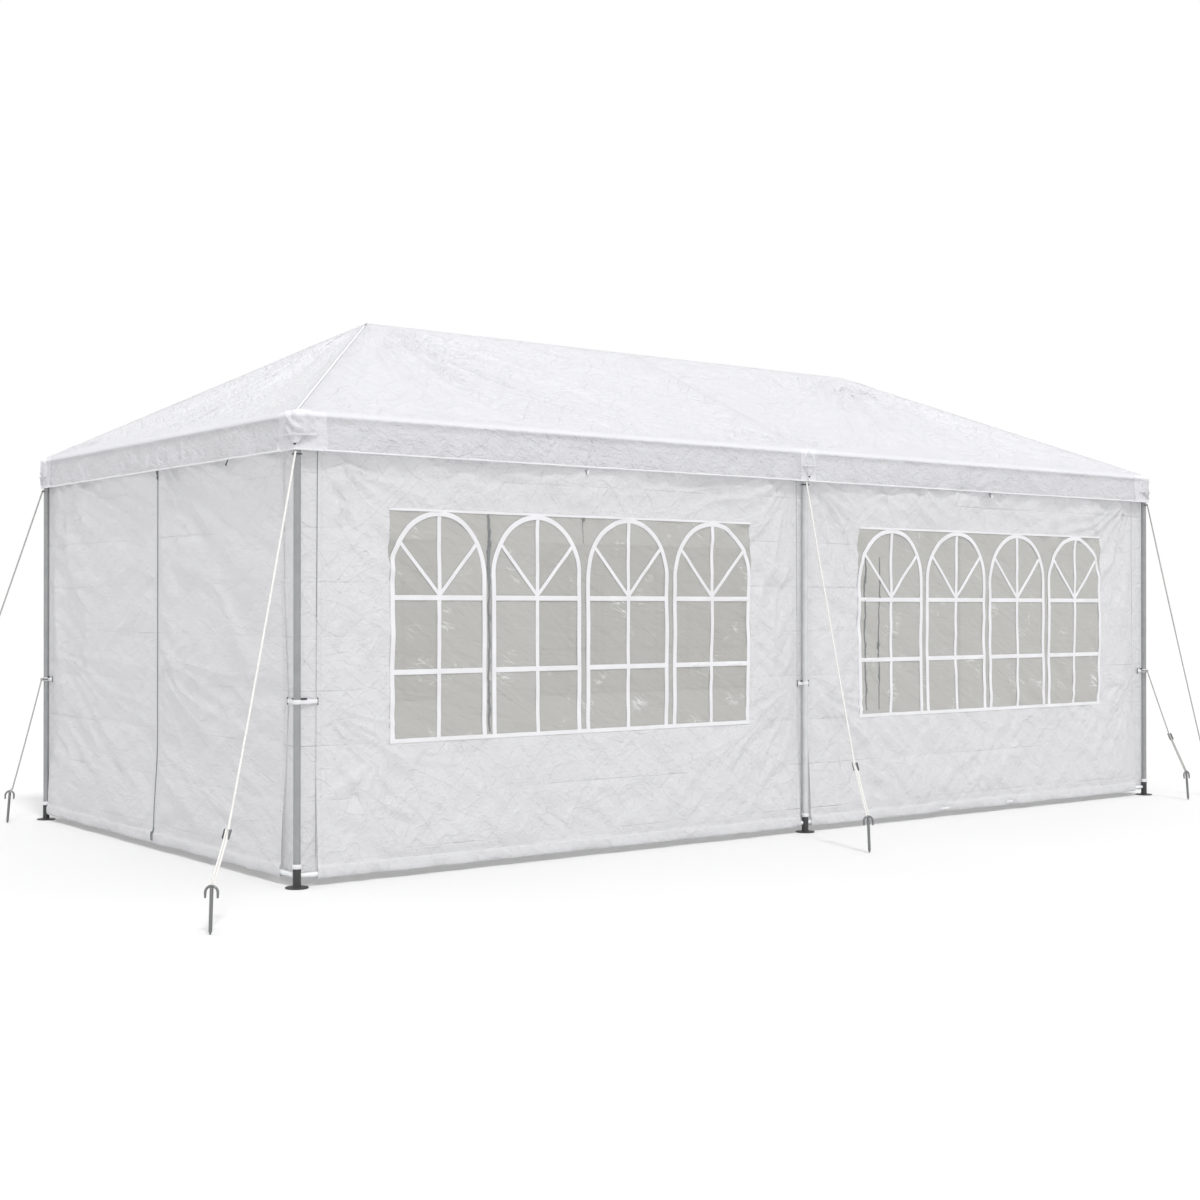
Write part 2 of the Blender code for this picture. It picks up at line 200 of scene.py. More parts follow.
def level_ring(turns):
    """Points of a level circle of radius 1."""
    return stacked(np.cos(turns), np.sin(turns), 0.0)


def squared(values, power):
    """Sines or cosines of a circle, changed so that it grows squarer the less the power is."""
    return np.sign(values) * np.abs(values) ** power


def ring_section(radius, sides, lobes=0, depth=0.0):
    """Round section, or one with lobes, as flat points."""
    turn = np.arange(sides) * math.tau / sides
    reach = radius * (1 + depth * np.cos(lobes * turn))
    return reach[:, None] * level_ring(turn)[:, :2]


def smooth_path(points, spacing):
    """Curve through the points, with its own points spacing apart."""
    points = np.asarray(points, float)
    ends = np.vstack((2 * points[0] - points[1], points, 2 * points[-1] - points[-2]))
    route = []
    for number in range(1, len(ends) - 2):
        before, start, end, after = ends[number - 1:number + 3]
        steps = max(2, round(np.linalg.norm(end - start) / spacing))
        share = (np.arange(steps) / steps)[:, None]
        route.append(0.5 * (
            2 * start + (end - before) * share
            + (2 * before - 5 * start + 4 * end - after) * share ** 2
            + (3 * start - before - 3 * end + after) * share ** 3))
    route.append(points[-1:])
    return np.vstack(route)


def wall_points(wall, along, height, out):
    """Points of a wall from distance along it, height and distance outwards."""
    start, direction, outward = WALLS[wall]
    along, height, out = (np.asarray(value, float)[..., None] for value in (along, height, out))
    return start + along * direction + out * outward + height * UP


def leg_place(row, column):
    """Axis of a leg on the floor."""
    side_x = {"left": -1, "middle": 0, "right": 1}[column]
    return np.array((side_x * HALF_LENGTH, -HALF_WIDTH if row == "front" else HALF_WIDTH, 0.0))


def leg_outward(row, column):
    """Level direction in which a leg's rope and eyelet face."""
    return unit(np.sign(leg_place(row, column)))


# Folds and crinkles

NOISE_CELLS = 256
CREST_ROUNDING = 0.13
# The two families of packing folds: direction and strength
FOLD_TURNS = ((0.74, 0.9), (-0.76, 1.1))
FOLD_STRETCH = 3.6          # how much longer than wide they are
FOLD_SIZE = 0.125           # metres between them
FOLD_HEIGHT = 0.075         # as a share of that size
FINE_FOLD_HEIGHT = 0.018
STREAK_ROUNDING = 0.10


def soft_noise(points, size, seed):
    """Smooth noise, about -1 to 1, with bumps that are size apart."""
    shape = points.shape[:-1]
    place = points.reshape(-1, 3) / size
    cell = np.floor(place).astype(int)
    part = place - cell
    fade = part ** 3 * (part * (part * 6 - 15) + 10)
    random = np.random.RandomState(seed)
    table = random.permutation(NOISE_CELLS)
    slopes = unit(random.normal(size=(NOISE_CELLS, 3)))
    total = np.zeros(len(place))
    for corner in itertools.product((0, 1), repeat=3):
        key = np.zeros(len(place), int)
        weight = np.ones(len(place))
        for axis in range(3):
            key = table[(key + cell[:, axis] + corner[axis]) % NOISE_CELLS]
            weight *= fade[:, axis] if corner[axis] else 1 - fade[:, axis]
        total += weight * (slopes[key] * (part - np.array(corner))).sum(axis=1)
    return (total * 1.7).reshape(shape)


def warped(points, size, amount, seed):
    """Points moved about by noise, so that creases wander."""
    moves = [soft_noise(points, size, seed + axis) for axis in range(3)]
    return points + amount * stacked(*moves)


def slanted(points, turn, stretch):
    """Points turned in their first two axes, then drawn together along the new first one."""
    cosine, sine = math.cos(turn), math.sin(turn)
    first = (points[..., 0] * cosine + points[..., 1] * sine) / stretch
    second = points[..., 1] * cosine - points[..., 0] * sine
    return stacked(first, second, points[..., 2])


def crests(points, size, seed):
    """Rounded crests with wide hollows between them, about -0.8 to 0.7."""
    return 1 - np.hypot(soft_noise(points, size, seed), CREST_ROUNDING) * 2.4


def crinkle(points, seed, size=FOLD_SIZE):
    """Height of thin sheet that was packed small: soft bends with slanting folds that cross on them."""
    moved = warped(points, 0.30, 0.06, seed)
    total = 0.0060 * soft_noise(moved, 0.45, seed + 11)
    for number, (turn, strength) in enumerate(FOLD_TURNS):
        drawn = slanted(moved, turn, FOLD_STRETCH)
        place = np.clip(0.7 + 0.9 * soft_noise(points, 0.40, seed + 20 + number), 0, 1.3)
        total = total + place * strength * size * (
            FOLD_HEIGHT * crests(drawn, size, seed + 24 + number)
            + FINE_FOLD_HEIGHT * crests(drawn, size * 0.4, seed + 28 + number))
    return total


def streaks(across, along, fineness, seed):
    """Folds that run out from a point: polar noise drawn long in the direction away from it."""
    distance = np.hypot(across, along)
    turn = np.arctan2(along, across)
    place = stacked(np.cos(turn) * fineness, np.sin(turn) * fineness, np.log(distance + 0.15) * 0.8)
    sharp = 1 - np.hypot(soft_noise(place, 1.0, seed), STREAK_ROUNDING) * 1.5
    return np.clip(sharp, 0, 1) ** 2 - 0.35, distance


def rise(distance, reach):
    """0 at nothing, close to 1 beyond the reach."""
    return 1 - np.exp(-(distance / reach) ** 2)


def bell(away, height, width):
    """Rounded ridge or groove, from the distance to its middle."""
    return height * np.exp(-(away / width) ** 2)


def step_up(inside, width):
    """0 outside an edge, 1 inside it, with a short rise between."""
    share = np.clip(inside / width, 0, 1)
    return share * share * (3 - 2 * share)


# Materials

WALL_TOP = 1.975
CREASE_START = 0.36         # lowest level packing crease of the walls
CREASE_PITCH = 0.235
CREASE_WIDTH = 0.005
CREASE_DEPTH = 0.0024
THREAD_PITCH = 0.0022
THREAD_DEPTH = 0.00022
LIGHT_THROUGH = 0.33        # share of light that passes through the cloth
LIGHT_COLOUR = (0.96, 0.96, 0.95, 1.0)
# Crinkles of a cloth: direction, how much longer than wide, how many in a metre, and depth
WALL_CRINKLES = (
    (0.75, 3.4, 12.0, 0.0020),
    (-0.75, 3.4, 13.0, 0.0026),
    (0.1, 2.6, 27.0, 0.0014),
    (-0.3, 2.0, 52.0, 0.0009),
)
ROOF_CRINKLES = ((-1.05, 3.5, 15.0, 0.0030), (-0.45, 3.0, 29.0, 0.0026), (0.1, 2.6, 45.0, 0.0020))
# Thin lines on a cloth's sharpest folds: direction, how many in a metre, and depth
CREST_LINES = ((0.80, 7.0, 0.0012), (-0.70, 7.0, 0.0012), (0.75, 15.0, 0.0006), (-0.80, 15.0, 0.0006))


class Nodes:
    """Short way to add and join shader nodes in one material."""

    def __init__(self, name):
        self.material = bpy.data.materials.new(name)
        self.material.use_nodes = True
        self.tree = self.material.node_tree
        self.shader = self.tree.nodes["Principled BSDF"]
        self.place = self.add("TexCoord").outputs["Object"]

    def fill(self, node, inputs):
        """Give a node's inputs their values, or join them to other nodes' outputs."""
        for key, value in inputs.items():
            if isinstance(value, bpy.types.NodeSocket):
                self.tree.links.new(value, node.inputs[key])
            else:
                node.inputs[key].default_value = value

    def add(self, kind, inputs=None, **settings):
        node = self.tree.nodes.new("ShaderNode" + kind)
        for key, value in settings.items():
            setattr(node, key, value)
        self.fill(node, inputs or {})
        return node

    def noise(self, scale, detail=3.0, distortion=0.0, place=None):
        inputs = {"Scale": scale, "Detail": detail, "Distortion": distortion, "Vector": place or self.place}
        return self.add("TexNoise", inputs).outputs["Fac"]

    def sheet_place(self):
        return self.add("Attribute", attribute_name=FLAT_PLACE).outputs["Vector"]

    def drawn(self, place, turn, stretch):
        """Flat places drawn together in one direction, so that what is mapped on them grows long."""
        inputs = {"Vector": place, "Rotation": (0.0, 0.0, turn), "Scale": (stretch, 1.0, 1.0)}
        return self.add("Mapping", inputs, vector_type="TEXTURE").outputs["Vector"]

    def warped(self, place, scale, amount):
        """Places moved about by noise, so that what is mapped on them wanders."""
        noise = self.add("TexNoise", {"Scale": scale, "Detail": 1.0, "Vector": place})
        inputs = {0: noise.outputs["Color"], 1: (amount,) * 3, 2: place}
        return self.add("VectorMath", inputs, operation="MULTIPLY_ADD").outputs["Vector"]

    def calculate(self, operation, first, second=0.0):
        return self.add("Math", {0: first, 1: second}, operation=operation).outputs[0]

    def total(self, parts):
        """Sum of (value, weight) pairs."""
        total = 0.0
        for value, weight in parts:
            total = self.calculate("ADD", self.calculate("MULTIPLY", value, weight), total)
        return total

    def ramp(self, value, low, high):
        """Map noise from its usual middle range to low..high."""
        inputs = {"Value": value, "From Min": 0.3, "From Max": 0.7, "To Min": low, "To Max": high}
        return self.add("MapRange", inputs).outputs["Result"]

    def mix(self, share, first, second, blend="MIX"):
        """Two colours mixed, or multiplied."""
        inputs = {0: share, 6: first, 7: second}
        return self.add("Mix", inputs, data_type="RGBA", blend_type=blend).outputs[2]

    def crests(self, noise):
        """Sharp crests where noise passes through its middle, with soft hollows between them."""
        away = self.calculate("ABSOLUTE", self.calculate("SUBTRACT", noise, 0.5))
        return self.calculate("MULTIPLY", away, -4.0)

    def lines(self, noise, width):
        """Thin lines along the crests: 1 on the line, 0 beyond the width."""
        line = self.calculate("DIVIDE", self.crests(noise), 4.0 * width)
        return self.calculate("MAXIMUM", self.calculate("ADD", line, 1.0))

    def creases(self, height):
        """Level packing creases, stronger in some places: up to 1 on each line, 0 beyond its width."""
        above = self.calculate("SUBTRACT", height, CREASE_START)
        away = self.calculate("PINGPONG", above, CREASE_PITCH / 2)
        line = self.calculate("SUBTRACT", 1.0, self.calculate("DIVIDE", away, CREASE_WIDTH))
        strength = self.calculate("MAXIMUM", self.ramp(self.noise(2.3), -0.5, 1.3))
        return self.calculate("MULTIPLY", self.calculate("MAXIMUM", line), strength)

    def weave(self, pitch):
        """Crossed threads, pitch metres apart, on any upright or sloping sheet."""
        total = 1.0
        for direction in "XYZ":
            inputs = {"Scale": math.tau / (20 * pitch), "Vector": self.place}
            wave = self.add("TexWave", inputs, bands_direction=direction)
            total = self.calculate("MULTIPLY", total, wave.outputs["Fac"])
        return total

    def finished(self, colour, roughness, relief, **others):
        """The material, with its colour, roughness, relief in metres and other shader inputs."""
        bump = self.add("Bump", {"Distance": 1.0, "Height": relief})
        inputs = {"Base Color": colour, "Roughness": roughness, "Normal": bump.outputs["Normal"]}
        self.fill(self.shader, inputs | others)
        return self.material


def cloth_material(name, shades, blue, roughness, crinkles, creased=False):
    """Woven coated sheet: threads, fine crinkles, soft gloss and a little light through it.

    Shades are (height, shade, crumpling). The roof is painted whitest where it lies over the eave rail, a
    painted highlight, and is smoothest there.
    """
    nodes = Nodes(name)
    height = nodes.add("SeparateXYZ", {0: nodes.place}).outputs["Z"]
    ramp = nodes.add("ValToRGB", {"Fac": nodes.calculate("DIVIDE", height, RIDGE_AXIS)})
    while len(ramp.color_ramp.elements) < len(shades):
        ramp.color_ramp.elements.new(0.5)
    for element, (level, shade, crumpling) in zip(ramp.color_ramp.elements, shades):
        element.position = level / RIDGE_AXIS
        element.color = (shade, shade, shade * blue, crumpling)
    mottle = nodes.ramp(nodes.noise(3.1, 5.0), 0.965, 1.0)
    colour = nodes.mix(1.0, ramp.outputs["Color"], mottle, "MULTIPLY")
    sheet = nodes.sheet_place()
    moved = nodes.warped(sheet, 2.6, 0.05)
    parts = [(nodes.noise(170.0, 2.0), 0.0008)]
    for turn, stretch, scale, depth in crinkles:
        noise = nodes.noise(scale, 2.0, 0.4, nodes.drawn(moved, turn, stretch))
        parts.append((nodes.crests(noise), depth))
    for turn, scale, depth in CREST_LINES:
        noise = nodes.noise(scale, 1.0, 0.2, nodes.drawn(moved, turn, 2.4))
        parts.append((nodes.lines(noise, 0.0016 * scale), depth))
    if creased:
        up_sheet = nodes.add("SeparateXYZ", {0: sheet}).outputs["Y"]
        parts.append((nodes.creases(up_sheet), -CREASE_DEPTH))
    crumpled = nodes.calculate("MULTIPLY", nodes.total(parts), ramp.outputs["Alpha"])
    relief = nodes.total(((nodes.weave(THREAD_PITCH), THREAD_DEPTH), (crumpled, 1.0)))
    back = nodes.add("BsdfTranslucent", {"Color": LIGHT_COLOUR}).outputs["BSDF"]
    both = nodes.add("MixShader", {"Fac": LIGHT_THROUGH, 1: nodes.shader.outputs["BSDF"], 2: back})
    nodes.fill(nodes.tree.nodes["Material Output"], {"Surface": both.outputs["Shader"]})
    return nodes.finished(colour, roughness, relief)


def film_material():
    """Milky window film with crinkles that catch the light, and pale streaks along some of them, painted
    glints.
    """
    nodes = Nodes("milky_film")
    sheet = nodes.sheet_place()
    slanting = nodes.drawn(sheet, -0.62, 5.0)
    level = nodes.drawn(sheet, -0.15, 5.0)
    # Pale streaks along the crinkles' crests: painted glints.
    painted_glints = 0.0
    for place, scale in ((slanting, 17.0), (level, 21.0)):
        line = nodes.lines(nodes.noise(scale, 2.0, 0.0, place), 0.016)
        spread = nodes.calculate("MAXIMUM", nodes.ramp(nodes.noise(6.1, 3.0), -2.3, 1.1))
        painted_glints = nodes.calculate("MAXIMUM", painted_glints, nodes.calculate("MULTIPLY", line, spread))
    colour = nodes.mix(painted_glints, (0.400, 0.395, 0.377, 1.0), (0.66, 0.66, 0.65, 1.0))
    relief = nodes.total((
        (nodes.crests(nodes.noise(9.0, 1.0, 0.5, slanting)), 0.0036),
        (nodes.crests(nodes.noise(17.0, 2.0, 0.5, level)), 0.0018),
        (nodes.crests(nodes.noise(40.0, 1.0, 0.3, slanting)), 0.0008),
    ))
    return nodes.finished(colour, 0.20, relief, Alpha=0.86)


def steel_material(name, shade, metallic, roughness):
    """Powder coated or plated steel with faint lines and scuffs."""
    nodes = Nodes(name)
    pale = (shade, shade * 1.015, shade * 1.03, 1.0)
    deep = (shade * 0.86, shade * 0.875, shade * 0.89, 1.0)
    colour = nodes.mix(nodes.ramp(nodes.noise(14.0, 6.0), 0.0, 1.0), deep, pale)
    scuffed = nodes.ramp(nodes.noise(60.0, 5.0), roughness - 0.06, roughness + 0.08)
    relief = nodes.calculate("MULTIPLY", nodes.noise(420.0, 3.0), 0.00007)
    return nodes.finished(colour, scuffed, relief, Metallic=metallic)


def plain_material(name, tints, grain, roughness, relief, **others):
    """Two near tints mixed by noise, over fine relief.

    Grain is (scale, detail). Relief is (scale, detail, depth), or (thread pitch, None, depth) if it is woven.
    """
    nodes = Nodes(name)
    deep, pale = ((*tint, 1.0) for tint in tints)
    colour = nodes.mix(nodes.ramp(nodes.noise(*grain), 0.0, 1.0), deep, pale)
    scale, detail, depth = relief
    surface = nodes.weave(scale) if detail is None else nodes.noise(scale, detail)
    return nodes.finished(colour, roughness, nodes.calculate("MULTIPLY", surface, depth), **others)


def tape_material(name, shade):
    """Smooth bright binding and bars, sewn or welded to the cloth and film."""
    tints = [(shade * change, shade * change, shade * change * 1.03) for change in (0.95, 1.05)]
    return plain_material(name, tints, (9.0, 4.0), 0.33, (55.0, 3.0, 0.0008))


def rope_material(name, shade):
    """Twisted fibres. The ropes seen against the bright backdrop get a darker copy, painted shade."""
    tints = [(shade * change, shade * change * 0.99, shade * change * 0.96) for change in (0.90, 1.08)]
    return plain_material(name, tints, (160.0, 4.0), 0.75, (900.0, 4.0, 0.00036))


# Shades of the cloths: height, shade, and how strongly they are crinkled there. The roof and walls are one
# cloth in lighter and darker copies: the slopes whiter than the walls, painted light from above; the valance
# darker, painted shade; the band over the eave rail whitest, a painted highlight.
ROOF_SHADES = (
    (HEM_HEIGHT, 0.71, 1.5),
    (2.004, 0.69, 1.5),
    (2.011, 0.96, 0.3),
    (2.034, 0.96, 0.2),
    (2.044, 0.900, 1.9),
)
WALL_SHADES = ((0.03, 0.735, 1.3), (WALL_TOP, 0.735, 1.3))
# The patches carry the same painted highlight over the eave rail.
PATCH_SHADES = (
    (HEM_HEIGHT + 0.014, 0.90, 0.6),
    (HEM_HEIGHT + 0.018, 0.80, 1.0),
    (2.004, 0.80, 1.0),
    (2.011, 0.98, 0.4),
)
ROOF_CLOTH = cloth_material("roof_sheet", ROOF_SHADES, 1.045, 0.32, ROOF_CRINKLES)
WALL_CLOTH = cloth_material("wall_sheet", WALL_SHADES, 1.03, 0.34, WALL_CRINKLES, True)
PATCH_CLOTH = cloth_material("patch_sheet", PATCH_SHADES, 1.04, 0.28, ROOF_CRINKLES)
TAPE = tape_material("white_tape", 0.70)
SEAM = tape_material("sewn_tape", 0.71)
# Tape of the hip and end seams, brighter than the other tape: a painted highlight along them.
HIP_TAPE_WITH_PAINTED_HIGHLIGHT = tape_material("hip_tape_with_painted_highlight", 0.89)
FILM = film_material()
STEEL = steel_material("grey_steel", 0.34, 0.55, 0.34)
# Lighter copy of the grey steel for the middle legs: painted light.
STEEL_WITH_PAINTED_LIGHT = steel_material("steel_with_painted_light", 0.66, 0.60, 0.34)
# Black finish, also used where black parts stand in for shade: painted shade in eyelet holes and strap slots.
BLACK = steel_material("black_and_painted_shade", 0.035, 0.0, 0.45)
WHITE_TUBE = steel_material("white_coat", 0.80, 0.0, 0.40)
PLATED = steel_material("plated_steel", 0.22, 0.70, 0.34)
ROPE = rope_material("cream_rope", 0.84)
# Darker copy of the cream rope for the ropes seen against the backdrop: painted shade.
ROPE_WITH_PAINTED_SHADE = rope_material("rope_with_painted_shade", 0.46)
# Dark grey of the zip, also used for the painted shade lines on the window films and panel edges.
ZIP_AND_SHADE_LINE_TINTS = ((0.13, 0.14, 0.145), (0.24, 0.25, 0.255))
ZIP_AND_SHADE_LINES = plain_material("zip_and_shade_line_grey", ZIP_AND_SHADE_LINE_TINTS, (240.0, 3.0), 0.5, (0.0012, None, 0.00024))
FLOOR_TINTS = ((0.76, 0.76, 0.76), (0.775, 0.775, 0.775))
DULL = {"Specular IOR Level": 0.1}
FLOOR = plain_material("studio_floor", FLOOR_TINTS, (0.4, 2.0), 0.9, (30.0, 3.0, 0.00005), **DULL)


# Canopy

SLOPE_OFFSET = 0.0183       # cloth over the tube axes
VALANCE_OFFSET = 0.022
ROLL_RADIUS = 0.025         # cloth bent over the eave rail
COLUMN_SPACING = 0.024
FINE_SPACING = 0.013        # columns near a leg
ROW_SPACING = 0.022
PATCH_REACH = 0.15
VALANCE_ROWS = 14
ROLL_ROWS = 7
CORNER_STEPS = 6
SAG = 0.0484                # how far down the cloth hangs where it is far from every tube
SAG_REACH = 0.22            # from a tube to where the cloth hangs freely
SUPPORT_REACH = 0.075       # from a tube to where the cloth can fold freely
SWELL_HEIGHT = 0.0060       # broadest bumps of the slopes
SWELL_SIZE = 0.50
VALANCE_FOLD_SIZE = 0.075
VALANCE_IN = -0.009         # how far the valance's folds may stand in and out
VALANCE_OUT = 0.012
# Folds that run out from a point of the roof: fineness, height and reach
PEAK_FOLDS = (9.0, 0.0360, 1.50)
RIDGE_FOLDS = (6.0, 0.0140, 1.0)
LEG_FOLDS = (7.5, 0.0300, 0.60)
# How far the valance stands out at each height: drawn in under the rail, then out again to its hem
VALANCE_HEIGHTS = (HEM_HEIGHT, 1.890, 1.925, 1.955, 1.975, 1.990, 2.003, 2.012)
VALANCE_OUTS = (0.0, 0.0035, 0.0010, -0.0035, -0.0060, -0.0060, -0.0025, 0.0)
HIP_LIFTS = (0.0006, 0.0020, 0.0022, 0.0020, 0.0006)
END_SEAM = ((-0.005, 0.0006), (0.0, 0.0022), (0.005, 0.0006))     # aside and lift
BINDING_HEIGHT = 0.008
BINDING_THICKNESS = 0.0042


def slope_angle(wall):
    return math.atan2(RIDGE_AXIS - EAVE_AXIS, HALF_WIDTH if wall in LONG_WALLS else PEAK_INSET)


def slope_normal(wall):
    angle = slope_angle(wall)
    return WALLS[wall][2] * math.sin(angle) + UP * math.cos(angle)


def canopy_columns():
    """Lines of the canopy all the way round, seen from above against the clock, with a fan at each corner.

    Each has its foot, direction outwards, slope normal, slope angle, distance to a leg and direction along.
    """
    columns = []
    fans = []
    walls = list(WALLS)
    for wall, after in zip(walls, walls[1:] + walls[:1]):
        start, direction, outward = WALLS[wall]
        legs = (0.0, BAY, LENGTH) if wall in LONG_WALLS else (0.0, WIDTH)
        values = [0.0]
        for first, second in zip(legs, legs[1:]):
            breaks = (first, first + PATCH_REACH, second - PATCH_REACH, second)
            for low, high, spacing in zip(breaks, breaks[1:], (FINE_SPACING, COLUMN_SPACING, FINE_SPACING)):
                values.extend(spaced((low, high), spacing)[1:])
        angle, normal = slope_angle(wall), slope_normal(wall)
        for value in values:
            near = min(abs(value - leg) for leg in legs)
            columns.append((start + direction * value, outward, normal, angle, near, direction))
        fans.append(len(columns))
        corner = start + direction * legs[-1]
        for step in range(1, CORNER_STEPS):
            share = step / CORNER_STEPS
            turn = share * math.pi / 2
            fan = outward * math.cos(turn) + WALLS[after][2] * math.sin(turn)
            mixed = normal * (1 - share) + slope_normal(after) * share
            mixed_angle = angle * (1 - share) + slope_angle(after) * share
            columns.append((corner, fan, mixed, mixed_angle, 0.0, (0, 0, 0)))
    return columns, fans


def line_distance(points, start, end):
    """Distance of points from a straight tube axis."""
    start, end = np.array(start, float), np.array(end, float)
    run = end - start
    share = np.clip(((points - start) @ run) / (run @ run), 0, 1)
    return np.linalg.norm(points - start - share[..., None] * run, axis=-1)


def roof_tubes():
    tubes = [((-PEAK_X, 0, RIDGE_AXIS), (PEAK_X, 0, RIDGE_AXIS))]
    for y in (-HALF_WIDTH, HALF_WIDTH):
        tubes.append(((-HALF_LENGTH, y, EAVE_AXIS), (HALF_LENGTH, y, EAVE_AXIS)))
        for side in (-1, 0, 1):
            tubes.append(((side * HALF_LENGTH, y, EAVE_AXIS), (side * PEAK_X, 0, RIDGE_AXIS)))
    for x in (-HALF_LENGTH, HALF_LENGTH):
        tubes.append(((x, -HALF_WIDTH, EAVE_AXIS), (x, HALF_WIDTH, EAVE_AXIS)))
    return tubes


def canopy_surface():
    """Smooth canopy: rows of points from the hem to the ridge, with their normals and shares of the slope.

    A share is below 0 on the valance, 0 on the eave's roll and 1 at the ridge. The flat places, the distances
    to a leg and the first column of each corner's fan come with them.
    """
    columns, fans = canopy_columns()
    base, outward, normal, slopes, near, direction = (np.array(values, float) for values in zip(*columns))
    normal = unit(normal)
    top = base * (1, 0, 0) * PEAK_X / HALF_LENGTH
    roll_out = VALANCE_OFFSET - ROLL_RADIUS
    roll_up = ((SLOPE_OFFSET - ROLL_RADIUS - roll_out * np.sin(slopes)) / np.cos(slopes))[:, None]
    roll = base + outward * roll_out + UP * (EAVE_AXIS + roll_up)
    rows = []
    for share in np.linspace(0, 1, VALANCE_ROWS + 1)[:-1]:
        height = HEM_HEIGHT * (1 - share) + (EAVE_AXIS + roll_up) * share
        rows.append((base + outward * VALANCE_OFFSET + UP * height, outward, share - 1))
    for step in range(ROLL_ROWS):
        turn = ((math.pi / 2 - slopes) * step / (ROLL_ROWS - 1))[:, None]
        face = outward * np.cos(turn) + UP * np.sin(turn)
        rows.append((roll + face * ROLL_RADIUS, face, 0.0))
    count = round(HALF_WIDTH / math.cos(slope_angle("front")) / ROW_SPACING)
    for share in np.linspace(0, 1, count + 1)[1:]:
        axis = base * (1 - share) + top * share + UP * (EAVE_AXIS * (1 - share) + RIDGE_AXIS * share)
        rows.append((axis + normal * SLOPE_OFFSET, normal, share))
    for share in (0.4, 0.75, 1.0):
        face = unit(normal * (1 - share) + UP * share)
        rows.append((top + UP * RIDGE_AXIS + face * SLOPE_OFFSET, face, 1.0))
    points, normals, shares = (np.array(part) for part in zip(*rows))
    above = points[..., 2] - EAVE_AXIS
    height = EAVE_AXIS + np.where(above > 0, above / np.sin(slopes), above)
    flat = stacked((points * direction).sum(axis=-1), height, 0.0)
    return points, normals, shares, flat, near, fans


def canopy_folds(points):
    """Height of folds that run out from the peaks, the ridge's middle and the legs."""
    sources = [((side * PEAK_X, 0.0), PEAK_FOLDS) for side in (-1, 1)]
    sources += [((0.0, 0.0), RIDGE_FOLDS)]
    sources += [((x * HALF_LENGTH, y * HALF_WIDTH), LEG_FOLDS) for x in (-1, 0, 1) for y in (-1, 1)]
    total = 0.0
    for number, ((x, y), (fineness, height, reach)) in enumerate(sources):
        fold, distance = streaks(points[..., 0] - x, points[..., 1] - y, fineness, 40 + number)
        total = total + fold * rise(distance, 0.14) * bell(distance, height, reach)
    return total


def canopy_relief(points, shares, near, supported):
    """How far each point of the cloth stands off the smooth canopy."""
    free = rise(np.clip(supported, 0, None), SUPPORT_REACH) * (shares > 0)[:, None]
    relief = SWELL_HEIGHT * soft_noise(points, SWELL_SIZE, 14) + canopy_folds(points)
    slope = np.where(relief < 0, relief * free, relief * (0.12 + 0.88 * free))
    height = points[..., 2]
    place = stacked(travelled(points[0]), height, 0.0)
    hang = np.clip((EAVE_AXIS - height) / 0.05, 0, 1)
    flutter = 0.0050 * soft_noise(place * (1, 0.5, 1), 0.30, 92)
    valance = (crinkle(place, 5, VALANCE_FOLD_SIZE) * 1.3 + flutter) * hang
    valance = valance + np.interp(height, VALANCE_HEIGHTS, VALANCE_OUTS)
    valance = np.clip(valance * rise(near, 0.10), VALANCE_IN, VALANCE_OUT)
    roll = np.maximum(slope * np.clip((height - EAVE_AXIS - 0.004) / 0.016, 0, 1), -0.0002)
    kind = shares[:, None]
    return np.where(kind > 0, slope, np.where(kind < 0, valance, roll))


def make_canopy():
    """One sheet over the whole frame, with its binding along the hem, its seams and its patches."""
    points, normals, shares, flat_places, near, fans = canopy_surface()
    gaps = np.array([line_distance(points, start, end) for start, end in roof_tubes()]) - SLOPE_OFFSET
    sag = np.prod(1 - np.exp(-np.clip(gaps, 0, None) / SAG_REACH), axis=0) * (shares > 0)[:, None]
    relief = canopy_relief(points, shares, near, gaps.min(axis=0))
    points = points + normals * relief[..., None]
    points[..., 2] -= SAG * sag
    shape = Shape()
    shape.add(points, grid_faces(*points.shape[:2], closed=True))
    replaced = [f"{part}_{wall}" for part in ("roof", "valance") for wall in WALLS]
    canopy = shape.piece("canopy", ROOF_CLOTH, "roof_cloth", replaced, flat=flat_places)
    weld(canopy)
    extras = [make_binding(points[0], normals[0])]
    extras += make_patches(points, normals, shares) + make_seams(points, normals, shares, fans)
    frame_tubes = ["ridge_pole", "peak_connector_left", "peak_connector_right"]
    frame_tubes += [f"rafter_{row}_{column}" for row, column in LEGS]


def weld(piece):
    """Join the rows that meet along the ridge and at the peaks."""
    form = bmesh.new()
    form.from_mesh(piece.data)
    bmesh.ops.remove_doubles(form, verts=form.verts, dist=0.0002)
    form.to_mesh(piece.data)
    form.free()


